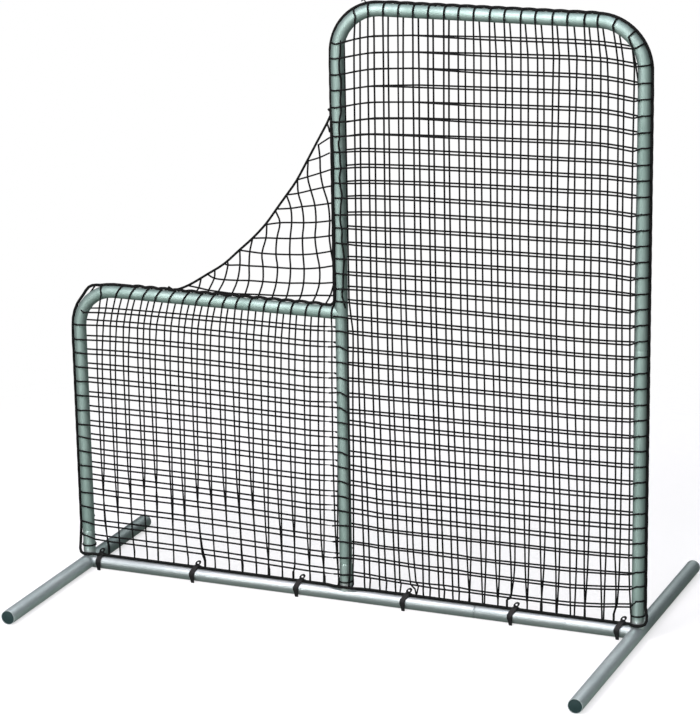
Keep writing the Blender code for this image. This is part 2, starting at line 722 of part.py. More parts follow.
def edge_rope():
    """The rope at the seam of the two layers: one loop round the whole outline and along the base rail."""
    over = HOOP_REACH + LASHING_D + 3 * GAP + ROPE_R
    round_neck = corner_r(HOOP_REACH + GAP + ROPE_R, ROPE_BEND_SIDES)
    low = RAIL_TOP + GAP + ROPE_R + GAP
    centre_front = HOOP_REACH + GAP + ROPE_R
    lash = RIGHT_LASHING_Z
    points = [Vector((LEFT_X + RAIL_ROPE_INSET, ROPE_Y, ROPE_Z)),
              Vector((CENTRE_X - 3 * HOOP_TUBE_D, ROPE_Y, ROPE_Z)),
              Vector((CENTRE_X - HOOP_R, -centre_front, low + GAP)),
              Vector((CENTRE_X + HOOP_R, -centre_front, low + GAP)),
              Vector((CENTRE_X + 3 * HOOP_TUBE_D, ROPE_Y, ROPE_Z)),
              Vector((RIGHT_X - RAIL_ROPE_INSET, ROPE_Y, ROPE_Z))]
    points += [round_upright(RIGHT_X, angle, round_neck, low) for angle in (-145, -120, -95, -70)]
    points += [round_upright(RIGHT_X, -30, over, low + ROPE_R), round_upright(RIGHT_X, -8, over, low + 2 * ROPE_D),
               round_upright(RIGHT_X, 0, over, lash), round_upright(RIGHT_X, 0, over, lash + ROPE_D),
               round_upright(RIGHT_X, 0, ROPE_SIDE, lash + 3 * ROPE_D)]
    tall_centre = TOP_Z - TALL_BEND_R
    points += arc((RIGHT_X - TALL_BEND_R, tall_centre), TALL_BEND_R + ROPE_SIDE, 0, 90, BEND_STEPS)
    points += arc((CENTRE_X + TALL_BEND_R, tall_centre), TALL_BEND_R + ROPE_SIDE, 90, 180, BEND_STEPS)
    inner = (CENTRE_X - ROPE_SIDE - ROPE_TURN, SHORT_Z + ROPE_SIDE + ROPE_TURN)
    points += arc(inner, ROPE_TURN, 0, -90, BEND_STEPS // 2)
    points += short_corner_rope()
    points += [round_upright(LEFT_X, 180, ROPE_SIDE, LEFT_LASHING_Z + 8 * ROPE_D)]
    lash = LEFT_LASHING_Z
    points += [round_upright(LEFT_X, 180, over, lash + 3 * ROPE_D), round_upright(LEFT_X, 200, over, lash + ROPE_D),
               round_upright(LEFT_X, 222, over, lash), round_upright(LEFT_X, 245, over, low + ROPE_R),
               round_upright(LEFT_X, 265, round_neck, low), round_upright(LEFT_X, 288, round_neck, low),
               round_upright(LEFT_X, 312, round_neck, low)]
    return cord("edge_rope", points, ROPE_D, rope_black(), cyclic=True)


def short_corner_rope():
    """At the short hoop's corner the net is square, so its rope stands away from the round tube."""
    out_shares = (1.0, 0.62, 0.40, 0.16, 0.02, -0.10, -0.40, -0.75, -1.25)
    up_shares = (1.0, 0.96, 0.94, 0.86, 0.64, 0.28, -0.10, -0.45, -1.0)
    x0 = LEFT_X - ROPE_SIDE
    z0 = SHORT_Z + ROPE_SIDE
    points = []
    for out, up in zip(out_shares, up_shares):
        x = x0 + SHORT_BEND_R * max(out, 0)
        z = z0 - SHORT_BEND_R * (1 - up) if up < 1 else z0
        points.append(Vector((x, 0, z)))
    return points


def notch_rope():
    """The rope on the notch net's edge, whose two ends lie along the seam's rope."""
    edge = [notch_curve(step / NOTCH_STEPS) for step in range(NOTCH_STEPS + 1)]
    ends = (edge[0] + Z_AXIS * ROPE_LAP, edge[-1] - X_AXIS * ROPE_LAP)
    return cord("notch_rope", [ends[0], *edge, ends[1]], ROPE_D, rope_black())


def leg_lacing():
    """A thin cord that winds to and fro down the front of the tall hoop's centre leg."""
    top = TOP_Z - TALL_BEND_R
    low = SHORT_SIDE_HEIGHT + HOOP_TUBE_D
    count = round((top - low) / (NET_PITCH / 3))
    radius = HOOP_REACH + GAP + LACING_D / 2
    points = []
    for step in range(count + 1):
        angle = -62 if step % 2 else -50
        points.append(round_upright(CENTRE_X, angle, radius, top + (low - top) * step / count))
    return cord("leg_lacing", points, LACING_D, rope_black(), resolution=1)


def lashing(name, x, z):
    """A turn of cord that ties the net to a neck."""
    away = corner_r(HOOP_REACH + GAP + LASHING_D / 2, TUBE_SIDES)
    points = [round_upright(x, 360 * step / TUBE_SIDES, away, z) for step in range(TUBE_SIDES)]
    return cord(name, points, LASHING_D, rope_black(), cyclic=True, resolution=1)


# Build

def build():
    clear_scene()
    hoop = tall_hoop()
    short = short_hoop()
    right = upright("right_upright", RIGHT_X, RIGHT_SEAM_Z)
    post = upright("centre_post", CENTRE_X, CENTRE_SEAM_Z)
    foot("right", RIGHT_X, RIGHT_FOOT_LENGTH, RIGHT_FOOT_FRONT_SHARE)
    foot("left", LEFT_X, LEFT_FOOT_LENGTH, LEFT_FOOT_FRONT_SHARE)
    rail_left = base_rail("base_rail_left", LEFT_X, LINK_START - GAP, LEFT_X)
    rail_right = base_rail("base_rail_right", LINK_END + GAP, RIGHT_X, RIGHT_X)
    link = base_rail_link()
    upright_button("right_leg_button", RIGHT_X, NECK_SEAM_Z, right, neck("right_neck", RIGHT_X))
    upright_button("left_leg_button", LEFT_X, NECK_SEAM_Z, short, neck("left_neck", LEFT_X))
    upright_button("post_foot_button", CENTRE_X, NECK_SEAM_Z, post, neck("centre_neck", CENTRE_X))
    upright_button("post_head_button", CENTRE_X, CENTRE_SEAM_Z, hoop, post)
    upright_button("right_head_button", RIGHT_X, RIGHT_SEAM_Z, hoop, right)
    rail_button("rail_button_left", LINK_START, X_AXIS, rail_left, link)
    rail_button("rail_button_right", LINK_END, -X_AXIS, rail_right, link)
    net_clips()
    layer_panels("front", -1)
    layer_panels("back", 1)
    notch_net()
    edge_rope()
    notch_rope()
    leg_lacing()
    lashing("right_lashing", RIGHT_X, RIGHT_LASHING_Z)
    lashing("left_lashing", LEFT_X, LEFT_LASHING_Z)
    lashing("centre_lashing", CENTRE_X, CENTRE_LASHING_Z)


build()
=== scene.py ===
import json
import math

import bmesh
import bpy
from mathutils import Matrix, Vector

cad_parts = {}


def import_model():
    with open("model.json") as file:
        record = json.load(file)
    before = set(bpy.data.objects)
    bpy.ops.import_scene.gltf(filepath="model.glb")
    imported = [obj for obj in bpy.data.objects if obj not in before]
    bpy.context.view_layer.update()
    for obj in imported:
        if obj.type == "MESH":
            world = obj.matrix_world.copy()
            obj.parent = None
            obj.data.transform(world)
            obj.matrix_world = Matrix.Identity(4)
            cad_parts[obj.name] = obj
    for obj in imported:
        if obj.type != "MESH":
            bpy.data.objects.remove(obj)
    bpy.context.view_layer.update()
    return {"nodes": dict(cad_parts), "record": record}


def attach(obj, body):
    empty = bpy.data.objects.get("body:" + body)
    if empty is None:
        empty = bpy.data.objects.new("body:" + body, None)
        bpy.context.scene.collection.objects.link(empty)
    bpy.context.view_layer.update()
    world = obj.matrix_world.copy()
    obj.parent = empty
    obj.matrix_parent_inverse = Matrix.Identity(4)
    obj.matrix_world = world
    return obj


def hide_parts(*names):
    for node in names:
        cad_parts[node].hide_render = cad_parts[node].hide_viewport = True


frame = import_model()

# Sizes in metres

MM = 0.001
LEFT_X = -1044.75 * MM
CENTRE_X = -27.75 * MM
RIGHT_X = 1044.75 * MM
TOP_Z = 2111.75 * MM
SHORT_Z = 1053.75 * MM
RAIL_Z = 25.4 * MM
TUBE_R = 22.25 * MM
BASE_R = 25.4 * MM
TALL_BEND_R = 155 * MM
SHORT_BEND_R = 140 * MM
NET_Y = 25.5 * MM
TWINE_R = 3.1 * MM
KNOT_R = 4.0 * MM
ROPE_R = 5.3 * MM
EDGE_R = 4.2 * MM
ROPE_OUT = 26.0 * MM
RAIL_ROPE = (-8.3 * MM, 54.6 * MM)
LASHING_R = 1.8 * MM
LEFT_ROPE_OUT = 29.5 * MM
NOTCH_TOP = 1742 * MM
TALL_BEND_Z = TOP_Z - TALL_BEND_R
SHORT_BEND_Z = SHORT_Z - SHORT_BEND_R
TALL_BENDS = ((RIGHT_X - TALL_BEND_R, 1), (CENTRE_X + TALL_BEND_R, -1))

# The two layers of the net: in front of the tubes and behind them
FRONT, BACK = -1, 1


def twines(layers):
    """A table's twines with their places written out, where a tuple has the first and the steps off it."""
    return {side: [(first, *(first + step for step in steps)) for first, *steps in lines]
            for side, lines in layers.items()}


# Where the net's twines run, in millimetres. Each tuple is one twine, read at the stations named above it: a column's
# x by height, and a row's height by x. The first number is its place at the first station, and the others say how far
# off that place it is at theirs.

TALL_COLUMNS_AT = [2050, 2000, 1900, 1700, 1400, 1100, 800, 500, 300, 200, 110]
TALL_COLUMNS = twines({FRONT: [
    (47, -3, -4, -5, -6, -6, -4, 1, 3, 5, 6), (95, -1, -2, -2, -2, -2, 0, 6, 11, 13, 15),
    (149, 0, 0, -1, -1, 1, 4, 10, 14, 17, 20), (202, 0, -1, -1, -1, 0, 3, 8, 13, 15, 16),
    (255, 0, -1, 0, 0, 1, 6, 11, 16, 18, 19), (308, 0, -1, 0, 1, 3, 8, 16, 20, 21, 24),
    (364, 0, -1, -2, -1, 0, 3, 11, 14, 16, 18), (414, 0, 0, 1, 3, 5, 10, 16, 19, 21, 25),
    (468, 1, 1, 1, 3, 5, 8, 13, 16, 17, 19), (524, 1, 1, 1, 3, 6, 13, 14, 13, 14, 18),
    (576, 3, 4, 1, 1, 3, 7, 13, 15, 18, 25), (631, 1, 1, 1, -2, -1, 4, 12, 14, 14, 18),
    (684, 5, 6, 6, 5, 5, 9, 15, 17, 18, 20), (741, 3, 1, -2, -4, -3, 2, 10, 14, 15, 15),
    (792, 4, 8, 6, 1, -1, 4, 13, 15, 14, 15), (850, 4, 5, 5, 4, 3, 6, 8, 8, 7, 9),
    (897, 7, 8, 8, 8, 8, 11, 16, 18, 20, 22), (952, 10, 11, 13, 13, 13, 16, 16, 15, 18, 23),
    (1006, 11, 11, 9, 7, 6, 10, 12, 10, 11, 14),
], BACK: [
    (46, -1, -2, -5, -6, -7, -5, -1, 3, 5, 6), (96, 0, -1, -1, -2, -2, 1, 7, 11, 14, 17),
    (147, -1, -1, -1, -1, 0, 3, 10, 14, 16, 20), (201, -1, -2, -4, -5, -1, 5, 12, 15, 17, 20),
    (255, 0, 1, 0, 1, 4, 7, 14, 19, 21, 23), (307, 0, 0, 0, 1, 3, 8, 14, 19, 22, 24),
    (363, -1, -1, -2, 0, 2, 7, 15, 20, 24, 27), (420, 0, 0, 1, 1, 4, 8, 12, 17, 19, 16),
    (471, 4, 4, 4, 6, 9, 14, 19, 23, 25, 23), (524, 4, 7, 7, 7, 10, 16, 17, 20, 23, 20),
    (578, 5, 6, 7, 6, 9, 9, 14, 21, 24, 22), (632, 6, 8, 8, 9, 12, 13, 17, 18, 20, 18),
    (687, 6, 7, 8, 9, 10, 14, 19, 20, 20, 14), (741, 6, 5, 2, 0, -1, 5, 15, 20, 21, 18),
    (800, 7, 6, 2, 1, 2, 8, 18, 22, 23, 21), (851, 7, 9, 9, 9, 8, 10, 13, 12, 12, 7),
    (899, 10, 15, 16, 16, 18, 21, 25, 27, 27, 26), (953, 11, 14, 14, 14, 16, 20, 20, 22, 23, 25),
    (988, 13, 30, 29, 27, 27, 27, 31, 34, 36, 37),
]})
TALL_ROWS_AT = [0, 50, 100, 250, 500, 800, 900, 950, 1010]
TALL_ROWS = twines({FRONT: [
    (108, -1, -2, -7, -14, -13, -5, 1, 9), (171, 0, -1, -5, -12, -11, -3, 2, 9), (227, -1, -5, -3, -10, -6, 0, 3, 8),
    (290, -1, -4, -4, -3, -1, 2, 4, 7), (340, -1, -4, -3, -3, -1, 2, 4, 6), (391, -1, -4, -3, -1, 2, 5, 6, 9),
    (443, -1, -4, -4, -2, 0, 3, 5, 8), (500, -2, -4, -4, -3, -1, 2, 4, 7), (548, 3, 2, 3, 6, 9, 10, 11, 12),
    (608, -1, -1, 0, 4, 7, 9, 9, 11), (664, 0, -2, -2, 2, 4, 7, 9, 13), (705, 3, 4, 5, 8, 10, 12, 15, 18),
    (763, 4, 4, 5, 7, 9, 11, 13, 16), (821, 2, 2, 2, 4, 5, 7, 9, 12), (881, -3, -3, -2, -1, -1, 1, 3, 6),
    (928, 2, 2, 3, 3, 3, 5, 7, 9), (993, -4, -4, -3, -4, -4, -3, -1, 1), (1046, -3, -3, -4, -4, -5, -4, -3, -1),
    (1101, -1, -1, -2, -2, -5, -4, -2, 0), (1147, 2, 2, 4, 6, 8, 10, 9, 8), (1200, -1, 1, 3, 7, 12, 14, 14, 13),
    (1253, 2, 3, 5, 10, 15, 17, 17, 12), (1307, -2, -1, 4, 10, 14, 16, 15, 11), (1361, 1, 1, 7, 11, 15, 17, 16, 12),
    (1408, 5, 8, 15, 19, 22, 24, 23, 19), (1466, 4, 7, 12, 16, 18, 20, 19, 14), (1518, 3, 8, 14, 21, 26, 29, 29, 25),
    (1570, 7, 11, 16, 23, 28, 30, 29, 26), (1626, 6, 9, 14, 20, 25, 27, 26, 22), (1680, 7, 14, 18, 21, 28, 29, 25, 17),
    (1730, 8, 17, 27, 28, 34, 35, 31, 23), (1781, 13, 22, 32, 32, 38, 38, 34, 26),
    (1838, 10, 20, 25, 30, 36, 36, 32, 24), (1892, 13, 23, 35, 32, 37, 37, 33, 25),
    (1947, 12, 23, 34, 34, 40, 39, 36, 28), (1998, 16, 27, 39, 37, 42, 42, 38, 34),
], BACK: [
    (100, -1, -4, -7, 1, 3, 10, 16, 24), (163, 0, -2, -7, 1, 3, 11, 16, 23), (214, -1, -3, -2, 5, 11, 15, 17, 20),
    (281, -2, -6, -5, 4, 7, 10, 12, 15), (337, -2, -6, -6, 1, 4, 7, 8, 12), (388, -2, -6, -5, 1, 5, 8, 10, 13),
    (440, -2, -5, -6, -1, 3, 4, 6, 7), (497, -2, -5, -6, -2, 1, 3, 4, 6), (549, -1, -3, -1, 1, 2, 4, 5, 7),
    (605, 0, -2, 0, 2, 4, 6, 7, 10), (661, -1, -3, -2, 0, 1, 4, 6, 9), (702, 1, 1, 3, 5, 7, 10, 12, 13),
    (761, 1, 0, 3, 4, 5, 7, 9, 13), (816, 1, 2, 3, 4, 5, 7, 8, 11), (872, 2, 2, 3, 3, 3, 5, 7, 8),
    (926, 0, -1, 0, 0, 0, 2, 3, 5), (985, 1, 0, 1, 0, -1, 1, 2, 5), (1039, 0, 0, 0, -1, -3, -2, 0, 3),
    (1097, 0, -1, -1, -2, -5, -4, -3, 0), (1145, 1, 1, 3, 5, 7, 8, 6, 3), (1196, 1, 1, 5, 9, 12, 14, 13, 10),
    (1251, 2, 2, 5, 9, 13, 16, 14, 10), (1301, 2, 2, 8, 13, 17, 19, 17, 13), (1358, 1, 2, 7, 12, 15, 17, 15, 10),
    (1407, 5, 8, 14, 18, 21, 22, 20, 15), (1463, 6, 8, 14, 17, 19, 21, 18, 14), (1515, 7, 9, 16, 23, 28, 31, 29, 25),
    (1571, 7, 9, 15, 20, 26, 28, 26, 22), (1625, 8, 9, 15, 20, 24, 26, 25, 20), (1672, 10, 13, 19, 27, 35, 34, 30, 24),
    (1721, 11, 19, 28, 36, 43, 42, 38, 31), (1776, 11, 18, 27, 36, 44, 43, 39, 29),
    (1831, 11, 19, 30, 37, 44, 43, 38, 29), (1887, 12, 21, 30, 37, 44, 42, 37, 28),
    (1943, 11, 20, 29, 38, 46, 45, 40, 32), (1996, 13, 23, 32, 40, 47, 45, 41, 32),
]})
SHORT_COLUMNS_AT = [1000, 930, 800, 600, 400, 300, 200, 110]
SHORT_COLUMNS = twines({FRONT: [
    (-950, -14, -19, -19, -20, -20, -18, -15), (-898, -13, -19, -18, -19, -19, -17, -17),
    (-845, -14, -19, -18, -19, -15, -16, -13), (-792, -11, -14, -13, -13, -12, -14, -13),
    (-743, -12, -15, -13, -13, -8, -15, -17), (-688, -9, -11, -8, -8, -7, -8, -9),
    (-634, -9, -13, -14, -15, -13, -12, -8), (-583, -9, -11, -12, -11, -8, -7, -5),
    (-531, -8, -12, -11, -11, -5, -6, -3), (-477, -7, -11, -10, -9, -4, -3, -1), (-425, -6, -10, -9, -8, -4, -3, -2),
    (-373, -7, -8, -7, -5, -1, 1, 2), (-317, -7, -10, -11, -11, -11, -11, -5), (-264, -7, -10, -11, -11, -10, -6, -5),
    (-213, -5, -7, -8, -8, -8, -5, -3), (-157, -3, -6, -7, -9, -10, -10, -6), (-106, -2, -4, -6, -8, -8, -9, -2),
    (-54, -2, -4, -5, -5, -5, -4, 1),
], BACK: [
    (-947, -17, -28, -32, -33, -37, -34, -28), (-896, -16, -26, -31, -31, -29, -28, -24),
    (-844, -16, -26, -30, -30, -29, -26, -19), (-789, -15, -22, -26, -26, -30, -25, -21),
    (-736, -18, -27, -31, -31, -35, -29, -28), (-683, -14, -21, -24, -24, -21, -20, -19),
    (-630, -14, -22, -26, -26, -26, -24, -17), (-579, -13, -19, -25, -24, -26, -18, -13),
    (-528, -13, -19, -22, -23, -22, -16, -11), (-476, -10, -14, -18, -18, -18, -12, -7),
    (-420, -8, -14, -19, -21, -21, -14, -9), (-367, -8, -13, -18, -20, -20, -12, -8),
    (-311, -8, -11, -16, -18, -18, -13, -15), (-261, -8, -12, -16, -18, -17, -13, -12),
    (-211, -5, -9, -13, -14, -14, -14, -9), (-155, -4, -7, -11, -12, -11, -9, -12), (-105, -1, -4, -8, -9, -8, -6, -7),
    (-54, -2, -4, -6, -7, -7, -6, -3),
]})
SHORT_ROWS_AT = [-1005, -950, -850, -700, -500, -300, -150, -70]
SHORT_ROWS = twines({FRONT: [
    (112, -2, -2, -2, -5, -11, -15, -14), (169, 0, 0, 0, -3, -7, -11, -10), (232, -2, -2, -2, -4, -9, -12, -12),
    (291, -2, -2, -1, -3, -7, -10, -11), (346, -1, -2, -2, -4, -8, -12, -7), (395, -2, -1, -1, -1, -4, -7, -3),
    (448, -3, -2, 0, 0, -3, -4, 0), (501, -1, 0, 2, 4, 2, 1, 6), (553, -1, 0, 2, 3, 1, -1, 3),
    (608, 0, 2, 3, 4, 1, -1, 2), (663, 1, 2, 4, 4, 2, 1, 3), (717, 0, 1, 2, 2, 0, -2, 2), (769, 1, 3, 4, 3, 1, -1, 1),
    (821, 3, 6, 6, 6, 3, 0, 3), (873, 3, 6, 8, 8, 7, 5, 9), (928, 4, 7, 9, 8, 6, 5, 8),
    (975, 4, 8, 11, 14, 14, 15, 18),
], BACK: [
    (126, -1, 0, -1, -4, -10, -13, -13), (182, 1, 1, 1, -2, -7, -10, -9), (242, -1, -1, -1, -3, -8, -11, -11),
    (299, -2, -2, -1, -3, -7, -11, -11), (352, -1, -1, -2, -4, -8, -12, -5), (399, -1, -1, 0, 0, -4, -6, -1),
    (450, -1, 0, 1, 1, -2, -3, 3), (504, -1, 0, 3, 3, 1, 0, 7), (554, 0, 2, 4, 4, 2, 0, 8),
    (610, 0, 2, 3, 3, 1, -1, 4), (663, 1, 2, 4, 3, 1, 1, 5), (717, 1, 2, 3, 2, -1, -2, 6),
    (771, 1, 2, 3, 1, -1, -3, 3), (824, 2, 4, 4, 3, 0, -2, 4), (875, 3, 6, 7, 7, 5, 4, 11), (934, 2, 5, 6, 5, 3, 1, 6),
    (978, 5, 7, 9, 11, 11, 11, 17),
]})

# The corner net's rows, knot by knot from the sagging edge to the leg, as x and height
CORNER_ROWS = [
    [(-104, 1638), (-61, 1667)],
    [(-140, 1581), (-98, 1596), (-62, 1614)],
    [(-180, 1513), (-145, 1525), (-97, 1542), (-60, 1556)],
    [(-221, 1457), (-181, 1465), (-134, 1479), (-88, 1492), (-60, 1499)],
    [(-259, 1404), (-210, 1410), (-168, 1419), (-120, 1427), (-71, 1437), (-58, 1440)],
    [(-302, 1346), (-252, 1356), (-208, 1360), (-163, 1363), (-117, 1368), (-66, 1377), (-58, 1380)],
    [(-355, 1293), (-306, 1298), (-265, 1300), (-215, 1303), (-169, 1308), (-122, 1314), (-69, 1324), (-57, 1327)],
    [(-405, 1246), (-369, 1244), (-323, 1242), (-270, 1243), (-218, 1246), (-168, 1250), (-116, 1258),
     (-65, 1270), (-58, 1272)],
    [(-468, 1195), (-454, 1189), (-408, 1193), (-373, 1193), (-320, 1195), (-265, 1196), (-216, 1197),
     (-165, 1200), (-107, 1208), (-59, 1219)],
    [(-533, 1149), (-508, 1137), (-469, 1135), (-419, 1137), (-375, 1140), (-322, 1141), (-271, 1142),
     (-221, 1144), (-168, 1149), (-109, 1153), (-58, 1160)],
    [(-615, 1102), (-569, 1097), (-531, 1092), (-494, 1090), (-441, 1088), (-391, 1090), (-338, 1093),
     (-285, 1095), (-232, 1098), (-179, 1103), (-123, 1109), (-69, 1113), (-56, 1114)],
]

# Its columns: three whole ones beside the leg, then the head and foot of each of the others, which run through the
# rows' knots. Two rows have no knot beside the leg.
LEG_COLUMNS = [
    [(-70, 1717), (-64, 1701), (-60, 1685)],
    [(-103, 1641), (-98, 1596), (-97, 1542), (-88, 1492), (-71, 1437), (-66, 1377), (-69, 1324), (-63, 1270),
     (-57, 1235)],
    [(-57, 1150), (-69, 1113), (-86, 1083)],
]
COLUMN_ENDS = [
    ((-142, 1579), (-139, 1078)), ((-183, 1511), (-193, 1076)), ((-225, 1455), (-242, 1077)),
    ((-267, 1395), (-292, 1079)), ((-302, 1346), (-345, 1077)), ((-357, 1291), (-395, 1082)),
    ((-407, 1245), (-446, 1078)), ((-458, 1202), (-501, 1079)), ((-505, 1168), (-536, 1080)),
    ((-559, 1132), (-584, 1079)),
]
SHORT_OF_LEG = (8, 9)

# Line left by the thin cord on the front of the centre leg: height in millimetres and angle round the tube
LEG_CORD = [
    (2024, -34), (2000, -41), (1962, -44), (1931, -54), (1899, -53), (1872, -41), (1836, -43), (1798, -50),
    (1765, -45), (1736, -58), (1705, -63), (1676, -60), (1652, -70), (1622, -60), (1590, -59), (1566, -54),
    (1538, -66), (1508, -62), (1476, -50), (1446, -58), (1418, -63), (1386, -67), (1352, -54), (1318, -57),
    (1284, -47), (1250, -40), (1216, -47), (1182, -51), (1150, -54), (1126, -63), (1102, -50), (1078, -37),
]

# The sagging edge of the corner net, and the rope that stands away from the low hoop's round corner
NOTCH_EDGE = [
    (-57, 1742), (-108, 1648), (-147, 1578), (-187, 1508), (-227, 1453), (-262, 1406), (-306, 1347), (-357, 1293),
    (-409, 1246), (-469, 1192), (-535, 1149), (-607, 1104), (-662, 1082),
]
BAG_ROPE = [
    (-31, -204), (-30, -166), (-29, -138), (-26.5, -110), (-19, -82), (-7, -56), (7, -36), (20, -19), (30, -4),
    (42, 9), (55, 16), (71, 19), (89, 20), (111, 24), (141, 27), (166, 27), (181, 27), (206, 27),
]

# How far a clip slides each way, and where the seam rope's loose ends stick up on the top tube
CLIP_SLIDE = 12
TUFTS = (70, 318, 505, 672)

# The seam rope's way round the foot of the right and the left upright: angle, and millimetres further out and up
RIGHT_TURN = (*((angle, -2.4, 0) for angle in range(-150, -69, 20)), (-48, -1, 1.5), (-25, 1, 5), (-8, 1, 14),
              (0, 0, 30))
LEFT_TURN = ((181, 3, 48), (188, 3, 30), (204, 3, 14), (226, 2, 4), (248, 0, 0), (270, -2, 0), (292, -2, 0),
             (314, 0, 0))

# How high the front layer's rows lie on the middle of the right upright, the left upright and the post
RIGHT_RINGS = (146, 199, 251, 304, 354, 408, 459, 516, 570, 624, 679, 732, 787, 840, 896, 950, 1006, 1060, 1115, 1169,
               1221, 1276, 1329, 1383, 1435, 1489, 1547, 1601, 1653, 1709, 1760, 1815, 1869, 1922, 1978, 2036)
LEFT_RINGS = (128, 181, 240, 293, 346, 396, 451, 505, 552, 605, 661, 714, 768, 821)
POST_RINGS = (104, 168, 228, 288, 342, 396, 451, 503, 558, 611, 666, 720, 776, 829, 884, 941, 996)

# The tall net's column beside the post
BESIDE_POST_AT = [2050, 1085, 1040, 990, 940, 840, 740, 530, 300, 180, 107]
BESIDE_POST = {FRONT: (5, 5, 5, 5, 5, 3, 1, 2, 0, -1, -3), BACK: (-13, -10, -4, 3, 3, 0, -2, -3, -7, -8, -12)}

# Where the panels' edges are read: x on the right upright, the left upright, beside the post and at the short panel's
# last column, and the heights of the columns' feet, and of their heads and ties on the two top tubes
RIGHT_AT, LEFT_AT, POST_AT, SHORT_END = 1044, -1045, -20, -70
FOOT_Z, TALL_HEAD_Z, SHORT_HEAD_Z, TALL_TIE_Z, SHORT_TIE_Z = 62, 2095, 1040, 2111, 1050

# Up to this height the short panel's net joins the tall one's at the post
SHORT_REACH = 1060

# How far apart the two layers stand above the base rail, as a share of their distance over the tubes
LEAN_AT, LEAN = (40, 55, 200, 300, 450, 600, 700), (.12, .12, .3, .6, .86, 1, 1)


def placed(name, data):
    """A new object in the scene."""
    piece = bpy.data.objects.new(name, data)
    bpy.context.scene.collection.objects.link(piece)
    return piece


# Camera

def aim_camera():
    """Stands where the picture was taken: 22.7 degrees round to the right, looking 16.2 degrees down."""
    az, el, roll = (math.radians(a) for a in (22.705, 16.239, -0.932))
    look = Vector((-math.sin(az) * math.cos(el), math.cos(az) * math.cos(el), -math.sin(el)))
    right = Vector((math.cos(az), math.sin(az), 0))
    up = right.cross(look)
    right, up = (right * math.cos(roll) + up * math.sin(roll), up * math.cos(roll) - right * math.sin(roll))
    data = bpy.data.cameras.new("camera")
    data.sensor_width = 36
    data.lens = 145.84
    data.clip_end = 60
    camera = placed("camera", data)
    turn = Matrix((right, up, -look)).transposed()
    camera.matrix_world = Matrix.Translation((3.7196, -8.8882, 3.6988)) @ turn.to_4x4()
    bpy.context.scene.camera = camera


# Node groups and materials

def node_group(name, inputs, outputs):
    tree = bpy.data.node_groups.new(name, "ShaderNodeTree")
    for label, kind, value in inputs:
        socket = tree.interface.new_socket(name=label, in_out="INPUT", socket_type="NodeSocket" + kind)
        socket.default_value = value
    for label, kind in outputs:
        tree.interface.new_socket(name=label, in_out="OUTPUT", socket_type="NodeSocket" + kind)
    return tree, tree.nodes.new("NodeGroupInput").outputs, tree.nodes.new("NodeGroupOutput")


def connect(node, **links):
    """Gives a node's sockets a value or another node's output, by their names or by i and their number."""
    for key, value in links.items():
        numbered = key[0] == "i" and key[1:].isdigit()
        socket = node.inputs[int(key[1:]) if numbered else key.replace("_", " ")]
        if isinstance(value, bpy.types.NodeSocket):
            node.id_data.links.new(value, socket)
        else:
            socket.default_value = value


def add_node(tree, kind, settings=None, **links):
    node = tree.nodes.new("ShaderNode" + kind)
    for key, value in (settings or {}).items():
        setattr(node, key, value)
    connect(node, **links)
    return node


def maths(tree, operation, a, b=0.0):
    return add_node(tree, "Math", {"operation": operation}, i0=a, i1=b).outputs[0]


def mixed(tree, factor, a, b):
    return add_node(tree, "Mix", {"data_type": "RGBA"}, i0=factor, i6=a, i7=b).outputs[2]


def spread(tree, value, low, high, to_low=0.0, to_high=1.0):
    """A soft step from one value to another."""
    return add_node(tree, "MapRange", {"interpolation_type": "SMOOTHSTEP"}, i0=value, i1=low, i2=high,
                    i3=to_low, i4=to_high).outputs[0]


def object_place(tree):
    return add_node(tree, "TexCoord").outputs["Object"]


def axes(tree, vector):
    return add_node(tree, "SeparateXYZ", i0=vector).outputs


def zinc_skin():
    """Skin of a zinc-plated tube: broad cloudy patches, fine crystals and draw lines along the tube."""
    tree, given, result = node_group(
        "zinc skin",
        [("Vector", "Vector", (0, 0, 0)), ("Skin", "Color", (.5, .5, .5, 1)),
         ("Cloud", "Color", (.4, .4, .4, 1)), ("Crystal Size", "Float", 140.0),
         ("Shine", "Float", 0.35)],
        [("Color", "Color"), ("Roughness", "Float"), ("Height", "Float")])
    at = given["Vector"]
    cloud = add_node(tree, "TexNoise", Vector=at, Scale=9.0, Detail=4.0, Roughness=0.6).outputs[0]
    crystal = add_node(tree, "TexVoronoi", Vector=at, Scale=given["Crystal Size"]).outputs[1]
    grey = add_node(tree, "RGBToBW", Color=crystal).outputs[0]
    fine = add_node(tree, "TexNoise", Vector=at, Scale=700.0, Detail=2.0).outputs[0]
    patch = maths(tree, "ADD", spread(tree, cloud, .38, .66, 0.0, 0.75), maths(tree, "MULTIPLY", grey, 0.22))
    colour = mixed(tree, patch, given["Skin"], given["Cloud"])
    rough = maths(tree, "ADD", given["Shine"], maths(tree, "MULTIPLY", patch, 0.10))
    height = maths(tree, "ADD", maths(tree, "MULTIPLY", grey, 0.5), fine)
    connect(result, Color=colour, Roughness=rough, Height=height)
    return tree


def laid_cord():
    """Strands of a twisted cord. The map runs along the cord in metres, and once round it."""
    tree, given, result = node_group(
        "laid cord",
        [("Map", "Vector", (0, 0, 0)), ("Pitch", "Float", 0.02),
         ("Strands", "Float", 3.0)],
        [("Groove", "Float"), ("Fibre", "Float")])
    along, around, _ = axes(tree, given["Map"])
    turns = maths(tree, "DIVIDE", along, given["Pitch"])
    phase = maths(tree, "MULTIPLY", maths(tree, "ADD", turns, around), given["Strands"])
    wave = maths(tree, "ABSOLUTE", maths(tree, "SINE", maths(tree, "MULTIPLY", phase, math.pi)))
    hairs = add_node(tree, "TexNoise", {"noise_dimensions": "2D"}, Vector=given["Map"],
                     Scale=900.0, Detail=1.0).outputs[0]
    connect(result, Groove=wave, Fibre=hairs)
    return tree


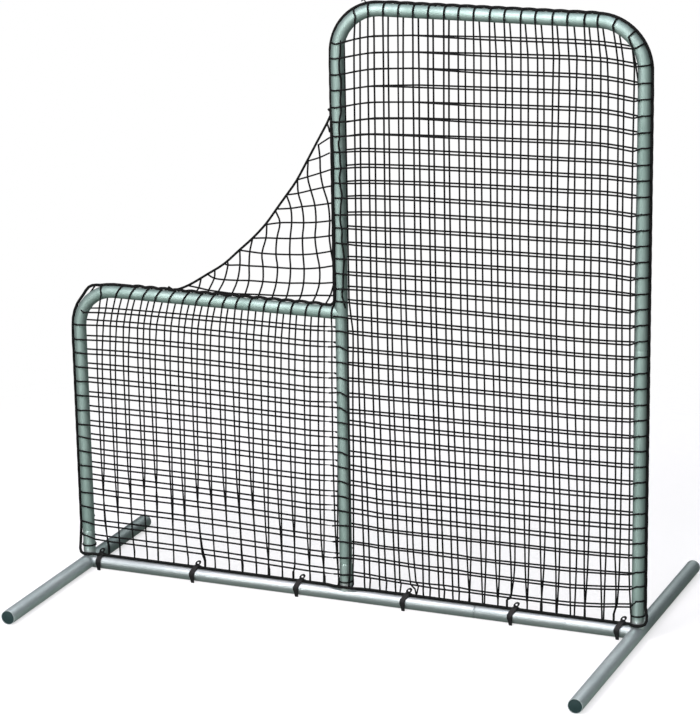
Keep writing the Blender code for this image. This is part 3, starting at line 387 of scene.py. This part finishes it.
def moulded_grain():
    """Fine grain and faint scuffs of moulded plastic."""
    tree, given, result = node_group(
        "moulded grain",
        [("Vector", "Vector", (0, 0, 0)), ("Scale", "Float", 900.0)],
        [("Height", "Float"), ("Scuff", "Float")])
    grain = add_node(tree, "TexNoise", Vector=given["Vector"], Scale=given["Scale"],
                     Detail=2.0).outputs[0]
    scuff = add_node(tree, "TexNoise", Vector=given["Vector"], Scale=60.0, Detail=5.0,
                     Roughness=0.7).outputs[0]
    connect(result, Height=grain, Scuff=spread(tree, scuff, .55, .72))
    return tree


def rgb(r, g, b):
    """A screen colour as the linear colour that the shader takes."""
    return tuple((v / 255 / 12.92) if v <= 10 else ((v / 255 + 0.055) / 1.055) ** 2.4 for v in (r, g, b)) + (1.0,)


def new_material(name, **constants):
    look = bpy.data.materials.new(name)
    look.use_nodes = True
    shader = look.node_tree.nodes["Principled BSDF"]
    connect(shader, **constants)
    return look, look.node_tree, shader


def bump(tree, shader, height, distance):
    connect(shader, Normal=add_node(tree, "Bump", Strength=1.0, Distance=distance, Height=height).outputs[0])


def steel(name, skin, cloud, shine, metallic, crystal=140.0, stretch=(1, 1, 1)):
    """Zinc-plated steel. stretch draws its pattern out along the tube."""
    look, tree, shader = new_material(name, Metallic=metallic)
    drawn = add_node(tree, "Mapping", Vector=object_place(tree), Scale=stretch).outputs[0]
    skin_node = add_node(tree, "Group", {"node_tree": ZINC}, Vector=drawn, Skin=rgb(*skin),
                         Cloud=rgb(*cloud), Crystal_Size=crystal, Shine=shine)
    connect(shader, Base_Color=skin_node.outputs["Color"], Roughness=skin_node.outputs["Roughness"])
    bump(tree, shader, skin_node.outputs["Height"], 0.00004)
    return look


def twisted(name, dark, light, pitch, strands, depth, roughness):
    """Laid cord, with painted shade: dark in the grooves between its strands."""
    look, tree, shader = new_material(name, Roughness=roughness, Specular_IOR_Level=.2)
    at = add_node(tree, "UVMap", {"uv_map": "UVMap"}).outputs[0]
    laid = add_node(tree, "Group", {"node_tree": LAID}, Map=at, Pitch=pitch, Strands=strands)
    # painted shade: the colour runs from dark in the grooves to lighter on the strands' crowns
    lit = maths(tree, "MULTIPLY", laid.outputs["Groove"], maths(tree, "ADD", laid.outputs["Fibre"], 0.35))
    connect(shader, Base_Color=mixed(tree, lit, rgb(*dark), rgb(*light)))
    bump(tree, shader, maths(tree, "ADD", laid.outputs["Groove"], maths(tree, "MULTIPLY", laid.outputs["Fibre"], .3)),
         depth)
    return look


def plastic(name, colour, worn, roughness, grain):
    look, tree, shader = new_material(name, Roughness=roughness, Specular_IOR_Level=.3)
    skin = add_node(tree, "Group", {"node_tree": GRAIN}, Vector=object_place(tree), Scale=grain)
    connect(shader, Base_Color=mixed(tree, skin.outputs["Scuff"], rgb(*colour), rgb(*worn)))
    bump(tree, shader, skin.outputs["Height"], 0.00005)
    return look


def overlaid(look, colour, cover):
    """Puts a second colour over a look's own one, as much as cover says for a place's x, y and z."""
    tree = look.node_tree
    shader = tree.nodes["Principled BSDF"]
    own = shader.inputs["Base Color"].links[0].from_socket
    share = cover(tree, *axes(tree, object_place(tree)))
    connect(shader, Base_Color=mixed(tree, share, own, rgb(*colour)))
    return look


def painted_shade_on_back_feet(tree, x, y, _):
    """Painted shade: the halves of the feet behind the net are darkened, the left one most."""
    return maths(tree, "MULTIPLY", spread(tree, y, -.06, .1), spread(tree, x, -1, 1, .72, .5))


def above_lashing(tree, _, __, z):
    return spread(tree, z, .062, .084)


ZINC = zinc_skin()
LAID = laid_cord()
GRAIN = moulded_grain()
HOOP_STEEL = steel("hoop steel", (168, 190, 183), (146, 170, 162), 0.57, 0.9, stretch=(1, 1, .35))
RAIL_STEEL = steel("rail steel", (186, 194, 194), (162, 172, 172), 0.44, 0.9, stretch=(.35, 1, 1))
# the foot steel gets a darker colour painted over its back halves as shade
FOOT_STEEL = overlaid(steel("foot steel", (224, 234, 234), (198, 210, 210), 0.48, 0.9, stretch=(1, .35, 1)),
                      (98, 114, 110), painted_shade_on_back_feet)
NECK_STEEL = overlaid(steel("neck steel", (236, 244, 242), (190, 202, 199), 0.42, 0.88, crystal=190.0),
                      (174, 194, 188), above_lashing)
SPRING_STEEL = steel("spring steel", (120, 124, 126), (96, 100, 102), 0.28, 0.9, crystal=400.0)
PLUG_PLASTIC = plastic("plug plastic", (38, 58, 58), (58, 78, 78), 0.45, 1200.0)
CLIP_PLASTIC = plastic("clip plastic", (6, 6, 7), (24, 24, 25), 0.6, 900.0)
TWINE_BLACK = twisted("twine black", (3, 3, 3), (15, 16, 16), 0.012, 3.0, 0.0003, 0.75)
ROPE_BLACK = twisted("rope black", (2, 2, 2), (11, 13, 12), 0.024, 3.0, 0.0007, 0.75)
CORD_BLACK = twisted("cord black", (2, 2, 2), (11, 13, 12), 0.011, 3.0, 0.0003, 0.7)

# Cords

def add_cord(cords, points, radius, rings=2, cyclic=False):
    """Adds a round cord through the points. Its map goes along it in metres and once round it."""
    curve = bpy.data.curves.new("path", "CURVE")
    curve.dimensions = "3D"
    curve.bevel_depth = radius
    curve.bevel_resolution = rings
    curve.use_fill_caps = not cyclic
    spline = curve.splines.new("POLY")
    spline.points.add(len(points) - 1)
    for place, point in zip(spline.points, points):
        place.co = (*point, 1)
    spline.use_cyclic_u = cyclic
    path = bpy.data.objects.new("path", curve)
    mesh = bpy.data.meshes.new_from_object(path)
    ends = list(points) + ([points[0]] if cyclic else [])
    along = [0.0]
    for before, after in zip(ends, ends[1:]):
        along.append(along[-1] + (Vector(after) - Vector(before)).length)
    for loop in mesh.uv_layers[0].data:
        place = min(max(loop.uv.x, 0.0), 1.0) * (len(along) - 1)
        step = min(int(place), len(along) - 2)
        loop.uv.x = along[step] + (along[step + 1] - along[step]) * (place - step)
    bpy.data.objects.remove(path)
    bpy.data.curves.remove(curve)
    cords.append(mesh)


def joined(cords):
    """One mesh of all the cords and knots."""
    parts = [placed("part", mesh) for mesh in cords]
    with bpy.context.temp_override(active_object=parts[0], object=parts[0], selected_objects=parts,
                                   selected_editable_objects=parts):
        bpy.ops.object.join()
    bm = bmesh.new()
    bm.from_mesh(parts[0].data)
    bpy.data.objects.remove(parts[0])
    return bm


def finish(name, bm, look, *nodes, body="frame", slot=None, smooth_under=None):
    """Makes the object, smooth-shaded, riding on its body and standing for its nodes."""
    mesh = bpy.data.meshes.new(name)
    for face in bm.faces:
        face.smooth = True
    if smooth_under is not None:
        bm.normal_update()
        for edge in bm.edges:
            edge.smooth = len(edge.link_faces) == 2 and edge.calc_face_angle(0) < math.radians(smooth_under)
    bm.to_mesh(mesh)
    bm.free()
    mesh.materials.append(look)
    piece = placed(name, mesh)
    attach(piece, body)
    if nodes:
        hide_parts(*nodes)
    return piece


def rounded(points, steps=4):
    """A smooth line through the points."""
    points = [Vector(p) for p in points]
    out = []
    for k in range(len(points) - 1):
        before = points[k - 1] if k else points[0] * 2 - points[1]
        a, b = points[k], points[k + 1]
        after = points[k + 2] if k + 2 < len(points) else b * 2 - a
        for step in range(steps):
            t = step / steps
            out.append(((a * 2) + (b - before) * t + (before * 2 - a * 5 + b * 4 - after) * t ** 2
                        + (a * 3 - before - b * 3 + after) * t ** 3) / 2)
    out.append(points[-1])
    return out


# Net

def read_at(stations, values, place):
    """A twine's place, in millimetres, read between its stations and drawn on past the last one."""
    pairs = sorted(zip(stations, values))
    k = 0
    while k < len(pairs) - 2 and place > pairs[k + 1][0]:
        k += 1
    (a, va), (b, vb) = pairs[k], pairs[k + 1]
    return va + (vb - va) * (place - a) / (b - a)


def sheet_y(x, z, side):
    """How far a layer of the net stands from the middle: it leans in to the rope on the base rail."""
    if not side:
        return 0
    # near the post only the last 45 mm lean in, and further right the whole lower quarter does
    bays = read_at(LEAN_AT, LEAN, min(max(z, 45), 690))
    close = min(max((z - 55) / 45, 0.12), 1)
    share = min(max((x - 360) / 100, 0), 1) if x > -30 else 1
    lean = bays * share + close * (1 - share)
    return side * NET_Y * lean + RAIL_ROPE[0] * (1 - lean)


def spot(x, z, side):
    """A place in a layer of the net. In front of the post and behind it the twine lies on the tube."""
    x *= MM
    y = sheet_y(x / MM, z, side)
    beside = (TUBE_R + TWINE_R) ** 2 - (x - CENTRE_X) ** 2
    if side and beside > 0:
        y = side * max(side * y, math.sqrt(beside))
    return Vector((x, y, z * MM))


def spots(places, side):
    return [spot(x, z, side) for x, z in places]


def over_tube(x, z, outward, side, last=78, rope=ROPE_OUT):
    """A twine from the middle of a tube's face, round its outer side and into the rope."""
    turn = [math.radians(a) for a in (0, 20, 40, 60, last)]
    at = Vector((x, 0, z))
    points = [at + outward * (NET_Y * math.sin(a)) + Vector((0, side * NET_Y * math.cos(a), 0)) for a in turn]
    return points + [at + outward * rope]


def bend_hit(x, z, centre, radius, going):
    """Where a twine at x (going up) or at z (going out) meets the middle of a hoop's bend, and which way is out."""
    cx, cz = centre
    if going == "up":
        z = cz + math.sqrt(max(radius ** 2 - (x - cx) ** 2, 0))
    else:
        x = cx + math.copysign(math.sqrt(max(radius ** 2 - (z - cz) ** 2, 0)), x - cx)
    return x, z, Vector((x - cx, 0, z - cz)).normalized()


def crossing(column, column_at, row, row_at):
    """Where a column and a row meet, closed in on from the middle of the row."""
    x, z = read_at(column_at, column, row[len(row) // 2]), row[len(row) // 2]
    for _ in range(6):
        z = read_at(row_at, row, x)
        x = read_at(column_at, column, z)
    return x, z


def knots(cords, places, side):
    """A knot on each crossing of a row."""
    bm = bmesh.new()
    for x, z in places:
        place = Matrix.Translation(spot(x, z, side)) @ Matrix.Rotation(math.radians(45), 4, "Y")
        bmesh.ops.create_uvsphere(bm, u_segments=6, v_segments=4, radius=KNOT_R,
                                  matrix=place @ Matrix.Diagonal((1.0, .9, 1.0, 1)))
    mesh = bpy.data.meshes.new("knots")
    bm.to_mesh(mesh)
    bm.free()
    cords.append(mesh)


def tall_top(x, side):
    """Up over the top tube, or over a bend."""
    x *= MM
    for cx, outer in TALL_BENDS:
        if (x - cx) * outer > 0:
            return over_tube(*bend_hit(x, 0, (cx, TALL_BEND_Z), TALL_BEND_R, "up"), side)
    return over_tube(x, TOP_Z, Vector((0, 0, 1)), side)


def row_end(z, side, hoop_x, outer, bend_z, bend_r, rope=ROPE_OUT):
    """Out over an upright, or over a bend above it."""
    z *= MM
    if z > bend_z:
        cx = hoop_x - outer * bend_r
        return over_tube(*bend_hit(cx + outer * MM, z, (cx, bend_z), bend_r, "out"), side, rope=rope)
    return over_tube(hoop_x, z, Vector((outer, 0, 0)), side, rope=rope)


def clip_room(number):
    """The stretch of the rail that a clip can reach on its slide, and how high its eye stands."""
    source = frame["nodes"]["net_clip_%d" % number]
    places = [(source.matrix_world @ vertex.co) / MM for vertex in source.data.vertices]
    across = [place.x for place in places]
    spare = CLIP_SLIDE + 4
    return min(across) - spare, max(across) + spare, max(place.z for place in places)


CLIP_ROOMS = [clip_room(number) for number in range(1, 7)]
CLIP_TOP = CLIP_ROOMS[0][2] + 3


def beside_clips(x):
    """A twine's foot, moved along the rope if a clip would reach it."""
    for low, high, _ in CLIP_ROOMS:
        if low < x < high:
            return low if x - low < high - x else high
    return x


def led_past_clips(line):
    """A column's knots, of which the lowest two already lean the way that its foot goes."""
    push = beside_clips(line[0][0]) - line[0][0]
    return [(line[0][0] + .38 * push, line[0][1]), (line[1][0] + .1 * push, line[1][1])] + line[2:]


def twine_foot(foot, drift, side):
    """The lower end of a column, down to the rope on the base rail and clear of the clips."""
    return [Vector((beside_clips(foot + drift) * MM, RAIL_ROPE[0], RAIL_ROPE[1] + 2 * MM)),
            spot(beside_clips(foot + drift * .85), FOOT_Z, side), spot(beside_clips(foot + drift * .5), CLIP_TOP, side)]


def crossings(lines, rows, rows_at):
    """Each column's knots on the rows. A line is a column with the stations that it is read at."""
    return [led_past_clips([crossing(column, at, row, rows_at) for row in rows]) for column, at in lines]


def past_post(z_short, ring, z_left, side):
    """A row's way over the post: out of the short panel if it comes from there, and into the tall one."""
    if z_short is None:
        return spots([(x, ring) for x in (-47, -38, -28, -16)], side)
    return spots([(SHORT_END, z_short), (-49, (z_short + ring) / 2), (-40, z_short / 4 + ring * .75), (-28, ring),
                  (-16, ring * .6 + z_left * .4)], side)


def tall_panel(name, node, side):
    cords = []
    rows, short_rows = TALL_ROWS[side], SHORT_ROWS[side]
    lines = [(BESIDE_POST[side], BESIDE_POST_AT)] + [(column, TALL_COLUMNS_AT) for column in TALL_COLUMNS[side]]
    grid = crossings(lines, rows, TALL_ROWS_AT)
    for index, (line, (column, at)) in enumerate(zip(grid, lines)):
        foot = read_at(at, column, FOOT_Z)
        # near the post the feet stand off their columns, in front towards it and behind away from it
        drift = min(max((440 - foot) / 80, 0), 1) * (-7 if side < 0 else 13)
        points = twine_foot(foot, drift, side)
        if index or side > 0:
            points += spots([place for place in line if not beyond_bend(*place)], side)
            points += tall_top(read_at(at, column, TALL_HEAD_Z), side)
        else:
            points += spots([(x, z) for x, z in line if z < SHORT_REACH], side)
        add_cord(cords, points, TWINE_R, 1)
    for index, row in enumerate(rows):
        inside = [column[index] for column in grid if not beyond_bend(*column[index])]
        z_right = RIGHT_RINGS[index] if side < 0 else eased(read_at(TALL_ROWS_AT, row, RIGHT_AT), 1000)
        right = row_end(z_right, side, RIGHT_X, 1, TALL_BEND_Z, TALL_BEND_R)
        z_left = read_at(TALL_ROWS_AT, row, POST_AT)
        if z_left > SHORT_REACH:
            left = row_end(z_left, side, CENTRE_X, -1, TALL_BEND_Z, TALL_BEND_R)[::-1]
        else:
            ring = POST_RINGS[index] if side < 0 and index < len(POST_RINGS) else z_left
            short = index < len(short_rows)
            z_short = read_at(SHORT_ROWS_AT, short_rows[index], SHORT_END) if short else None
            left = past_post(z_short, ring, z_left, side)
        add_cord(cords, left + spots(inside, side) + right, TWINE_R, 1)
        knots(cords, inside, side)
    finish(name, joined(cords), TWINE_BLACK, node, slot="twine_black")


def eased(z, x):
    """A back row's height on an upright: a little lower where the layer has leaned in beside the tube."""
    return z - .29 * (NET_Y - sheet_y(x, z, 1)) / MM


def beyond_bend(x, z):
    """True where the round corner of the tall hoop has cut a square of the net off."""
    x, z = x * MM, z * MM
    return z > TALL_BEND_Z and any(
        (x - cx) * outer > 0 and math.hypot(x - cx, z - TALL_BEND_Z) > TALL_BEND_R - 4 * MM for cx, outer in TALL_BENDS)


def bag_point(share):
    """A place on the rope of the low hoop's loose corner, where 0 is its left end and 1 its right."""
    place = share * (len(BAG_ROPE) - 1)
    k = min(int(place), len(BAG_ROPE) - 2)
    (ax, az), (bx, bz) = BAG_ROPE[k], BAG_ROPE[k + 1]
    t = place - k
    return Vector((LEFT_X + (ax + (bx - ax) * t) * MM, 0, SHORT_Z + (az + (bz - az) * t) * MM))


def short_top(x, side):
    """Up over the low tube. Near the loose corner the twine runs on to the rope there."""
    offset = x - LEFT_X / MM
    if offset < 130:
        hit = bend_hit(x * MM, 0, (LEFT_X + SHORT_BEND_R, SHORT_BEND_Z), SHORT_BEND_R, "up")
        return over_tube(*hit, side, last=70)[:-1] + [bag_point(0.62 if offset < 105 else 0.72)]
    ring = over_tube(0, SHORT_Z, Vector((0, 0, 1)), side)
    # over the tube the twines lean to the right, less so towards the leg, and none goes on past its net
    lean = read_at((-560, -380), (1, .3), min(max(x, -560), -380))
    leans = [lean * along for along in (9, 14, 19, 22, 24, 25)]
    return [point + Vector((min(x + step, -56) * MM, 0, 0)) for point, step in zip(ring, leans)]


def short_panel(name, node, side):
    cords = []
    rows = SHORT_ROWS[side]
    grid = crossings([(column, SHORT_COLUMNS_AT) for column in SHORT_COLUMNS[side]], rows, SHORT_ROWS_AT)
    for column, line in zip(SHORT_COLUMNS[side], grid):
        points = twine_foot(read_at(SHORT_COLUMNS_AT, column, FOOT_Z), 0, side)
        points += spots(line, side) + short_top(read_at(SHORT_COLUMNS_AT, column, SHORT_HEAD_Z), side)
        add_cord(cords, points, TWINE_R, 1)
    for index, row in enumerate(rows):
        line = [column[index] for column in grid]
        z_left = read_at(SHORT_ROWS_AT, row, LEFT_AT)
        if index < len(LEFT_RINGS):
            z_left = LEFT_RINGS[index] if side < 0 else eased(z_left, -1000)
        rope = LEFT_ROPE_OUT + (1.5 if z_left < 900 else -.5) * MM
        if index == len(rows) - 1:
            # the top row runs out to the rope of the loose corner
            left = over_tube(LEFT_X + 30 * MM, z_left * MM, Vector((-.8, 0, .6)), side)[:-1] + [bag_point(0.26)]
        else:
            left = row_end(z_left, side, LEFT_X, -1, SHORT_BEND_Z, SHORT_BEND_R, rope)
        flat = [(x, read_at(SHORT_ROWS_AT, row, x)) for x in (-1012, SHORT_END)]
        add_cord(cords, left[::-1] + spots(flat[:1] + line + flat[1:], side), TWINE_R, 1)
        knots(cords, line, side)
    if side < 0:
        # a twine that hangs across the loose corner
        low, high = bag_point(0.22), bag_point(0.64)
        add_cord(cords, [low, low.lerp(high, .5) + Vector((4 * MM, -12 * MM, -6 * MM)), high], TWINE_R, 1)
    finish(name, joined(cords), TWINE_BLACK, node, slot="twine_black")


def corner_column(place, head, foot):
    """A column of the corner net, by its place counted from the leg."""
    counts = [place - (number in SHORT_OF_LEG) for number in range(len(CORNER_ROWS))]
    return [head, *(row[-count] for row, count in zip(CORNER_ROWS, counts) if count < len(row)), foot]


def corner_net():
    """One layer of net in the inside corner of the L, from its sagging edge to the leg and the low tube."""
    cords = []
    columns = [corner_column(place, *ends) for place, ends in enumerate(COLUMN_ENDS, 3)]
    for points in CORNER_ROWS + LEG_COLUMNS + columns:
        line = [Vector((x * MM, 0, z * MM)) for x, z in points]
        add_cord(cords, rounded(line, 3), TWINE_R, 1)
    knots(cords, [place for row in CORNER_ROWS for place in row[1:-1]], 0)
    finish("corner_net", joined(cords), TWINE_BLACK, "net_notch", slot="twine_black")


tall_panel("tall_net_front", "net_front_tall", FRONT)
tall_panel("tall_net_back", "net_back_tall", BACK)
short_panel("short_net_front", "net_front_short", FRONT)
short_panel("short_net_back", "net_back_short", BACK)


# Ropes and cords

def round_tube(x, angle, radius, z):
    """A place round an upright: 0 degrees is its right side and -90 its front."""
    turn = math.radians(angle)
    return Vector((x + radius * math.cos(turn), radius * math.sin(turn), z))


def tie_places(stations, twines, place, shift=0):
    """Where a layer's twines reach the rope and tie it to its tube."""
    return sorted((read_at(stations, twine, place) + shift) * MM for twine in twines)


def tied(line, ties, low, high, out, slack):
    """A rope along a line from low to high, drawn in at each tie and bowed out between two of them."""
    done = []
    ties = [tie for tie in ties if low < tie < high]
    for a, b in zip(ties, ties[1:]):
        for step in range(4):
            t = step / 4
            place = a + (b - a) * t
            done.append(line(place) + Vector(out) * (slack * math.sin(math.pi * t)))
    done.append(line(ties[-1]))
    return done


def arc(centre, radius, first, last, steps):
    """Places on a circle in the plane of the screen."""
    done = []
    for step in range(steps + 1):
        turn = math.radians(first + (last - first) * step / steps)
        done.append(Vector((centre[0] + radius * math.cos(turn), 0, centre[1] + radius * math.sin(turn))))
    return done


def edge_rope():
    """The rope at the seam of the two layers: one loop round the whole outline and along the base rail."""
    cords = []
    over = TUBE_R + 3.6 * MM + ROPE_R
    low = 2 * BASE_R + ROPE_R + 2 * MM
    rail_y, rail_z = RAIL_ROPE
    right_ties = tie_places(TALL_ROWS_AT, TALL_ROWS[FRONT], RIGHT_AT)
    leg_ties = tie_places(TALL_ROWS_AT, TALL_ROWS[FRONT], POST_AT)
    left_ties = tie_places(SHORT_ROWS_AT, SHORT_ROWS[FRONT], LEFT_AT)
    top_ties = tie_places(TALL_COLUMNS_AT, TALL_COLUMNS[FRONT], TALL_TIE_Z)
    short_ties = tie_places(SHORT_COLUMNS_AT, SHORT_COLUMNS[FRONT], SHORT_TIE_Z, 6)
    points = []
    bottom = [LEFT_X + 70 * MM + (RIGHT_X - LEFT_X - 140 * MM) * step / 60 for step in range(61)]
    for x in bottom:
        # along the rail, and out round the foot of the post
        near = max(0.0, 1 - abs(x - CENTRE_X) / (70 * MM))
        y = rail_y - (TUBE_R + ROPE_R + 1 * MM + rail_y) * min(1, near * 1.6)
        points.append(Vector((x, y, rail_z + (low + 1 * MM - rail_z) * min(1, near * 1.6))))
    points += [round_tube(RIGHT_X, angle, over + out * MM, low + up * MM) for angle, out, up in RIGHT_TURN]
    points += tied(lambda z: Vector((RIGHT_X + ROPE_OUT, 0, z)), right_ties, 100 * MM, TALL_BEND_Z - 5 * MM,
                   (1, 0, 0), 0.8 * MM)
    points += arc((RIGHT_X - TALL_BEND_R, TALL_BEND_Z), TALL_BEND_R + ROPE_OUT, 4, 86, 14)
    points += tied(lambda x: Vector((x, 0, TOP_Z + ROPE_OUT)), reversed(top_ties), CENTRE_X + TALL_BEND_R,
                   RIGHT_X - TALL_BEND_R, (0, 0, 1), 2.2 * MM)
    points += arc((CENTRE_X + TALL_BEND_R, TALL_BEND_Z), TALL_BEND_R + ROPE_OUT, 94, 176, 14)
    points += tied(lambda z: Vector((CENTRE_X - ROPE_OUT, 0, z)), reversed(leg_ties), SHORT_Z + 60 * MM,
                   TALL_BEND_Z - 5 * MM, (-1, 0, 0), 0.8 * MM)
    turn = 20 * MM
    points += arc((CENTRE_X - ROPE_OUT - turn, SHORT_Z + ROPE_OUT + turn), turn, 0, -90, 5)
    points += tied(lambda x: Vector((x, 0, SHORT_Z + ROPE_OUT)), reversed(short_ties), LEFT_X + 215 * MM,
                   CENTRE_X - ROPE_OUT - turn, (0, 0, 1), 4 * MM)
    points += [bag_point(1 - step / 34) for step in range(35)]
    points += tied(lambda z: Vector((LEFT_X - LEFT_ROPE_OUT, 0, z)), reversed(left_ties), 130 * MM, 840 * MM,
                   (-1, 0, 0), 0.8 * MM)
    points += [round_tube(LEFT_X, angle, over + out * MM, low + up * MM) for angle, out, up in LEFT_TURN]
    add_cord(cords, points, ROPE_R, 3, cyclic=True)
    for x in TUFTS:
        tuft = Vector((x * MM, -2 * MM, TOP_Z + ROPE_OUT + 4.5 * MM))
        add_cord(cords, rounded([tuft + Vector((-7 * MM, 2 * MM, -5 * MM)), tuft, tuft + Vector((7 * MM, 0, -4 * MM)),
                                 tuft + Vector((10 * MM, -7 * MM, -9 * MM))], 3), 2 * MM, 1)
    finish("seam_rope", joined(cords), ROPE_BLACK, "edge_rope", slot="rope_black")


def notch_rope():
    """The rope on the corner net's free edge, and its other run down the leg."""
    cords = []
    edge = [Vector((x * MM, 0, z * MM)) for x, z in NOTCH_EDGE]
    start = Vector((CENTRE_X - ROPE_OUT - 2 * ROPE_R, 0, NOTCH_TOP + 24 * MM))
    end = Vector((edge[-1].x - 26 * MM, 0, SHORT_Z + ROPE_OUT + 2 * ROPE_R))
    add_cord(cords, rounded([start, *edge, end], 3), EDGE_R, 2)
    held = [(NOTCH_TOP + 34 * MM, -176), (NOTCH_TOP + 10 * MM, -160), (NOTCH_TOP - 25 * MM, -134)]
    held += [(z * MM, -124 + 3 * math.sin(z * 1.7)) for z in range(1590, 1110, -40)]
    held += [(1102 * MM, -130), (1086 * MM, -158)]
    add_cord(cords, rounded([round_tube(CENTRE_X, angle, TUBE_R + EDGE_R, z) for z, angle in held], 3), EDGE_R, 2)
    finish("sagging_rope", joined(cords), ROPE_BLACK, "notch_rope", slot="rope_black")


def leg_cord():
    """The thin cord that holds the nets together down the front of the centre leg."""
    cords = []
    points = [round_tube(CENTRE_X, angle, TUBE_R + TWINE_R + .3 * MM, z * MM) for z, angle in LEG_CORD]
    add_cord(cords, rounded(points, 3), TWINE_R, 2)
    finish("leg_cord", joined(cords), CORD_BLACK, "leg_lacing", slot="rope_black")


def lashing(name, x, z):
    """Two and a half turns of cord drawn tight round the foot of an upright."""
    cords = []
    steps = 60
    points = [round_tube(x, 900 * step / steps, TUBE_R + LASHING_R + .3 * MM,
                         z - 3.2 * MM + 6.4 * MM * step / steps) for step in range(steps + 1)]
    add_cord(cords, points, LASHING_R, 2)
    finish(name + "_cord", joined(cords), CORD_BLACK, name, slot="rope_black")


edge_rope()
notch_rope()
leg_cord()
corner_net()
lashing("right_lashing", RIGHT_X, 89.5 * MM)
lashing("left_lashing", LEFT_X, 87.5 * MM)
lashing("centre_lashing", CENTRE_X, 75 * MM)


# Tubes, clips, plugs and buttons

def sweep_strap(bm, sweep):
    """Swings the front of a clip's strap to one side as it comes down the rail, and tapers its tip."""
    middle = (min(v.co.x for v in bm.verts) + max(v.co.x for v in bm.verts)) / 2
    for vertex in bm.verts:
        x, y, z = vertex.co
        turn = math.degrees(math.atan2(-y, z - RAIL_Z))
        if turn > 15:
            swing = math.sin(math.radians(min((turn - 15) * 1.5, 115)))
            taper = 1 - .45 * min(max((turn - 88) / 40, 0), 1)
            vertex.co.x = middle + (x - middle) * taper + sweep * swing


def smooth_copy(node, look, body):
    """The CAD shape with its triangles joined up and its round faces shaded smooth."""
    source = frame["nodes"][node]
    bm = bmesh.new()
    bm.from_mesh(source.data)
    bmesh.ops.remove_doubles(bm, verts=bm.verts, dist=0.02 * MM)
    if "clip" in node:
        sweep_strap(bm, 0 if node.endswith("1") else -10 * MM)
    return finish(node + "_skin", bm, look, node, body=body, smooth_under=32)


LOOKS = {
    "button": SPRING_STEEL, "plug": PLUG_PLASTIC, "clip": CLIP_PLASTIC, "neck": NECK_STEEL, "foot": FOOT_STEEL,
    "rail": RAIL_STEEL, "hoop": HOOP_STEEL, "upright": HOOP_STEEL, "post": HOOP_STEEL,
}


def dress_nodes():
    """Gives each hard node the look of the first of these words in its name. Nets and cords have none of them."""
    body_of = {node: body for body, nodes in frame["record"]["behaviour"]["bodies"].items() for node in nodes}
    for node in frame["nodes"]:
        look = next((look for word, look in LOOKS.items() if word in node), None)
        if look:
            smooth_copy(node, look, body_of[node])


dress_nodes()


# Floor, world and lamps

def shown_rays(tree, gloss):
    """Which rays are straight ones to the eye: all of them at full, and as much as gloss says of the mirrored ones."""
    rays = add_node(tree, "LightPath").outputs
    straight = maths(tree, "MAXIMUM", rays["Is Camera Ray"], rays["Is Transmission Ray"])
    return rays, maths(tree, "MAXIMUM", straight, maths(tree, "MULTIPLY", rays["Is Glossy Ray"], gloss))


def floor():
    bm = bmesh.new()
    bmesh.ops.create_circle(bm, cap_ends=True, segments=64, radius=7)
    mesh = bpy.data.meshes.new("floor")
    bm.to_mesh(mesh)
    bm.free()
    piece = placed("floor", mesh)
    look = bpy.data.materials.new("pale floor")
    look.use_nodes = True
    tree = look.node_tree
    tree.nodes.clear()
    rays, seen = shown_rays(tree, 0.12)
    colour = mixed(tree, rays["Is Camera Ray"], (.13, .17, .14, 1), (.45, .45, .45, 1))
    paint = add_node(tree, "BsdfDiffuse", Color=colour).outputs[0]
    glow = add_node(tree, "Emission", Color=(1, 1, 1, 1), Strength=maths(tree, "MULTIPLY", seen, .62))
    lit = add_node(tree, "AddShader", i0=paint, i1=glow.outputs[0]).outputs[0]
    away = add_node(tree, "VectorMath", {"operation": "LENGTH"}, i0=object_place(tree)).outputs["Value"]
    fade = spread(tree, away, 1.9, 3.2)
    clear = add_node(tree, "BsdfTransparent").outputs[0]
    both = add_node(tree, "MixShader", i0=fade, i1=lit, i2=clear).outputs[0]
    add_node(tree, "OutputMaterial", Surface=both)
    mesh.materials.append(look)


def world():
    """Plain studio light, a little blue from above and dim green-grey from below, in front of a white background."""
    light = bpy.data.worlds.new("studio")
    light.use_nodes = True
    bpy.context.scene.world = light
    tree = light.node_tree
    tree.nodes.clear()
    _, shown = shown_rays(tree, 0.06)
    way = add_node(tree, "TexCoord").outputs["Generated"]
    height = axes(tree, way)[2]
    studio = mixed(tree, spread(tree, height, -0.25, 0.8), (.03, .035, .032, 1), (.11, .13, .15, 1))
    back = add_node(tree, "Background", Color=mixed(tree, shown, studio, (1, 1, 1, 1))).outputs[0]
    add_node(tree, "OutputWorld", Surface=back)


def lamp(name, place, size, power, colour=(1, 1, 1)):
    """A rectangular lamp, aimed at a place one metre up in the middle of the screen."""
    data = bpy.data.lights.new(name, "AREA")
    data.color = colour
    data.shape = "RECTANGLE"
    data.size, data.size_y = size
    data.energy = power
    piece = placed(name, data)
    turn = (Vector((0, 0, 1)) - Vector(place)).to_track_quat("-Z", "Y")
    piece.matrix_world = Matrix.Translation(place) @ turn.to_matrix().to_4x4()


floor()
world()
lamp("key", (-1.95, -5.0, 4.0), (3.0, 2.2), 140)
lamp("key_low", (-2.9, -6.6, 0.9), (2.0, 1.2), 80)
lamp("front", (1.2, -6.5, 2.2), (2.0, 2.2), 80)
lamp("side", (4.8, -4.0, 2.5), (2.0, 2.2), 60)
lamp("rails", (0.1, -5.3, 6.9), (6.2, 2.4), 330, (1.0, 0.88, 0.96))
lamp("rails_high", (-1.8, -4.6, 6.9), (2.8, 1.7), 190, (1.0, 0.88, 0.96))
lamp("top", (0.3, 0.3, 6.0), (4.0, 3.0), 56, (0.84, 0.88, 1.0))
lamp("rear", (0.3, 4.2, 4.8), (5.0, 2.0), 95)
aim_camera()
bpy.context.scene.view_settings.view_transform = "Standard"
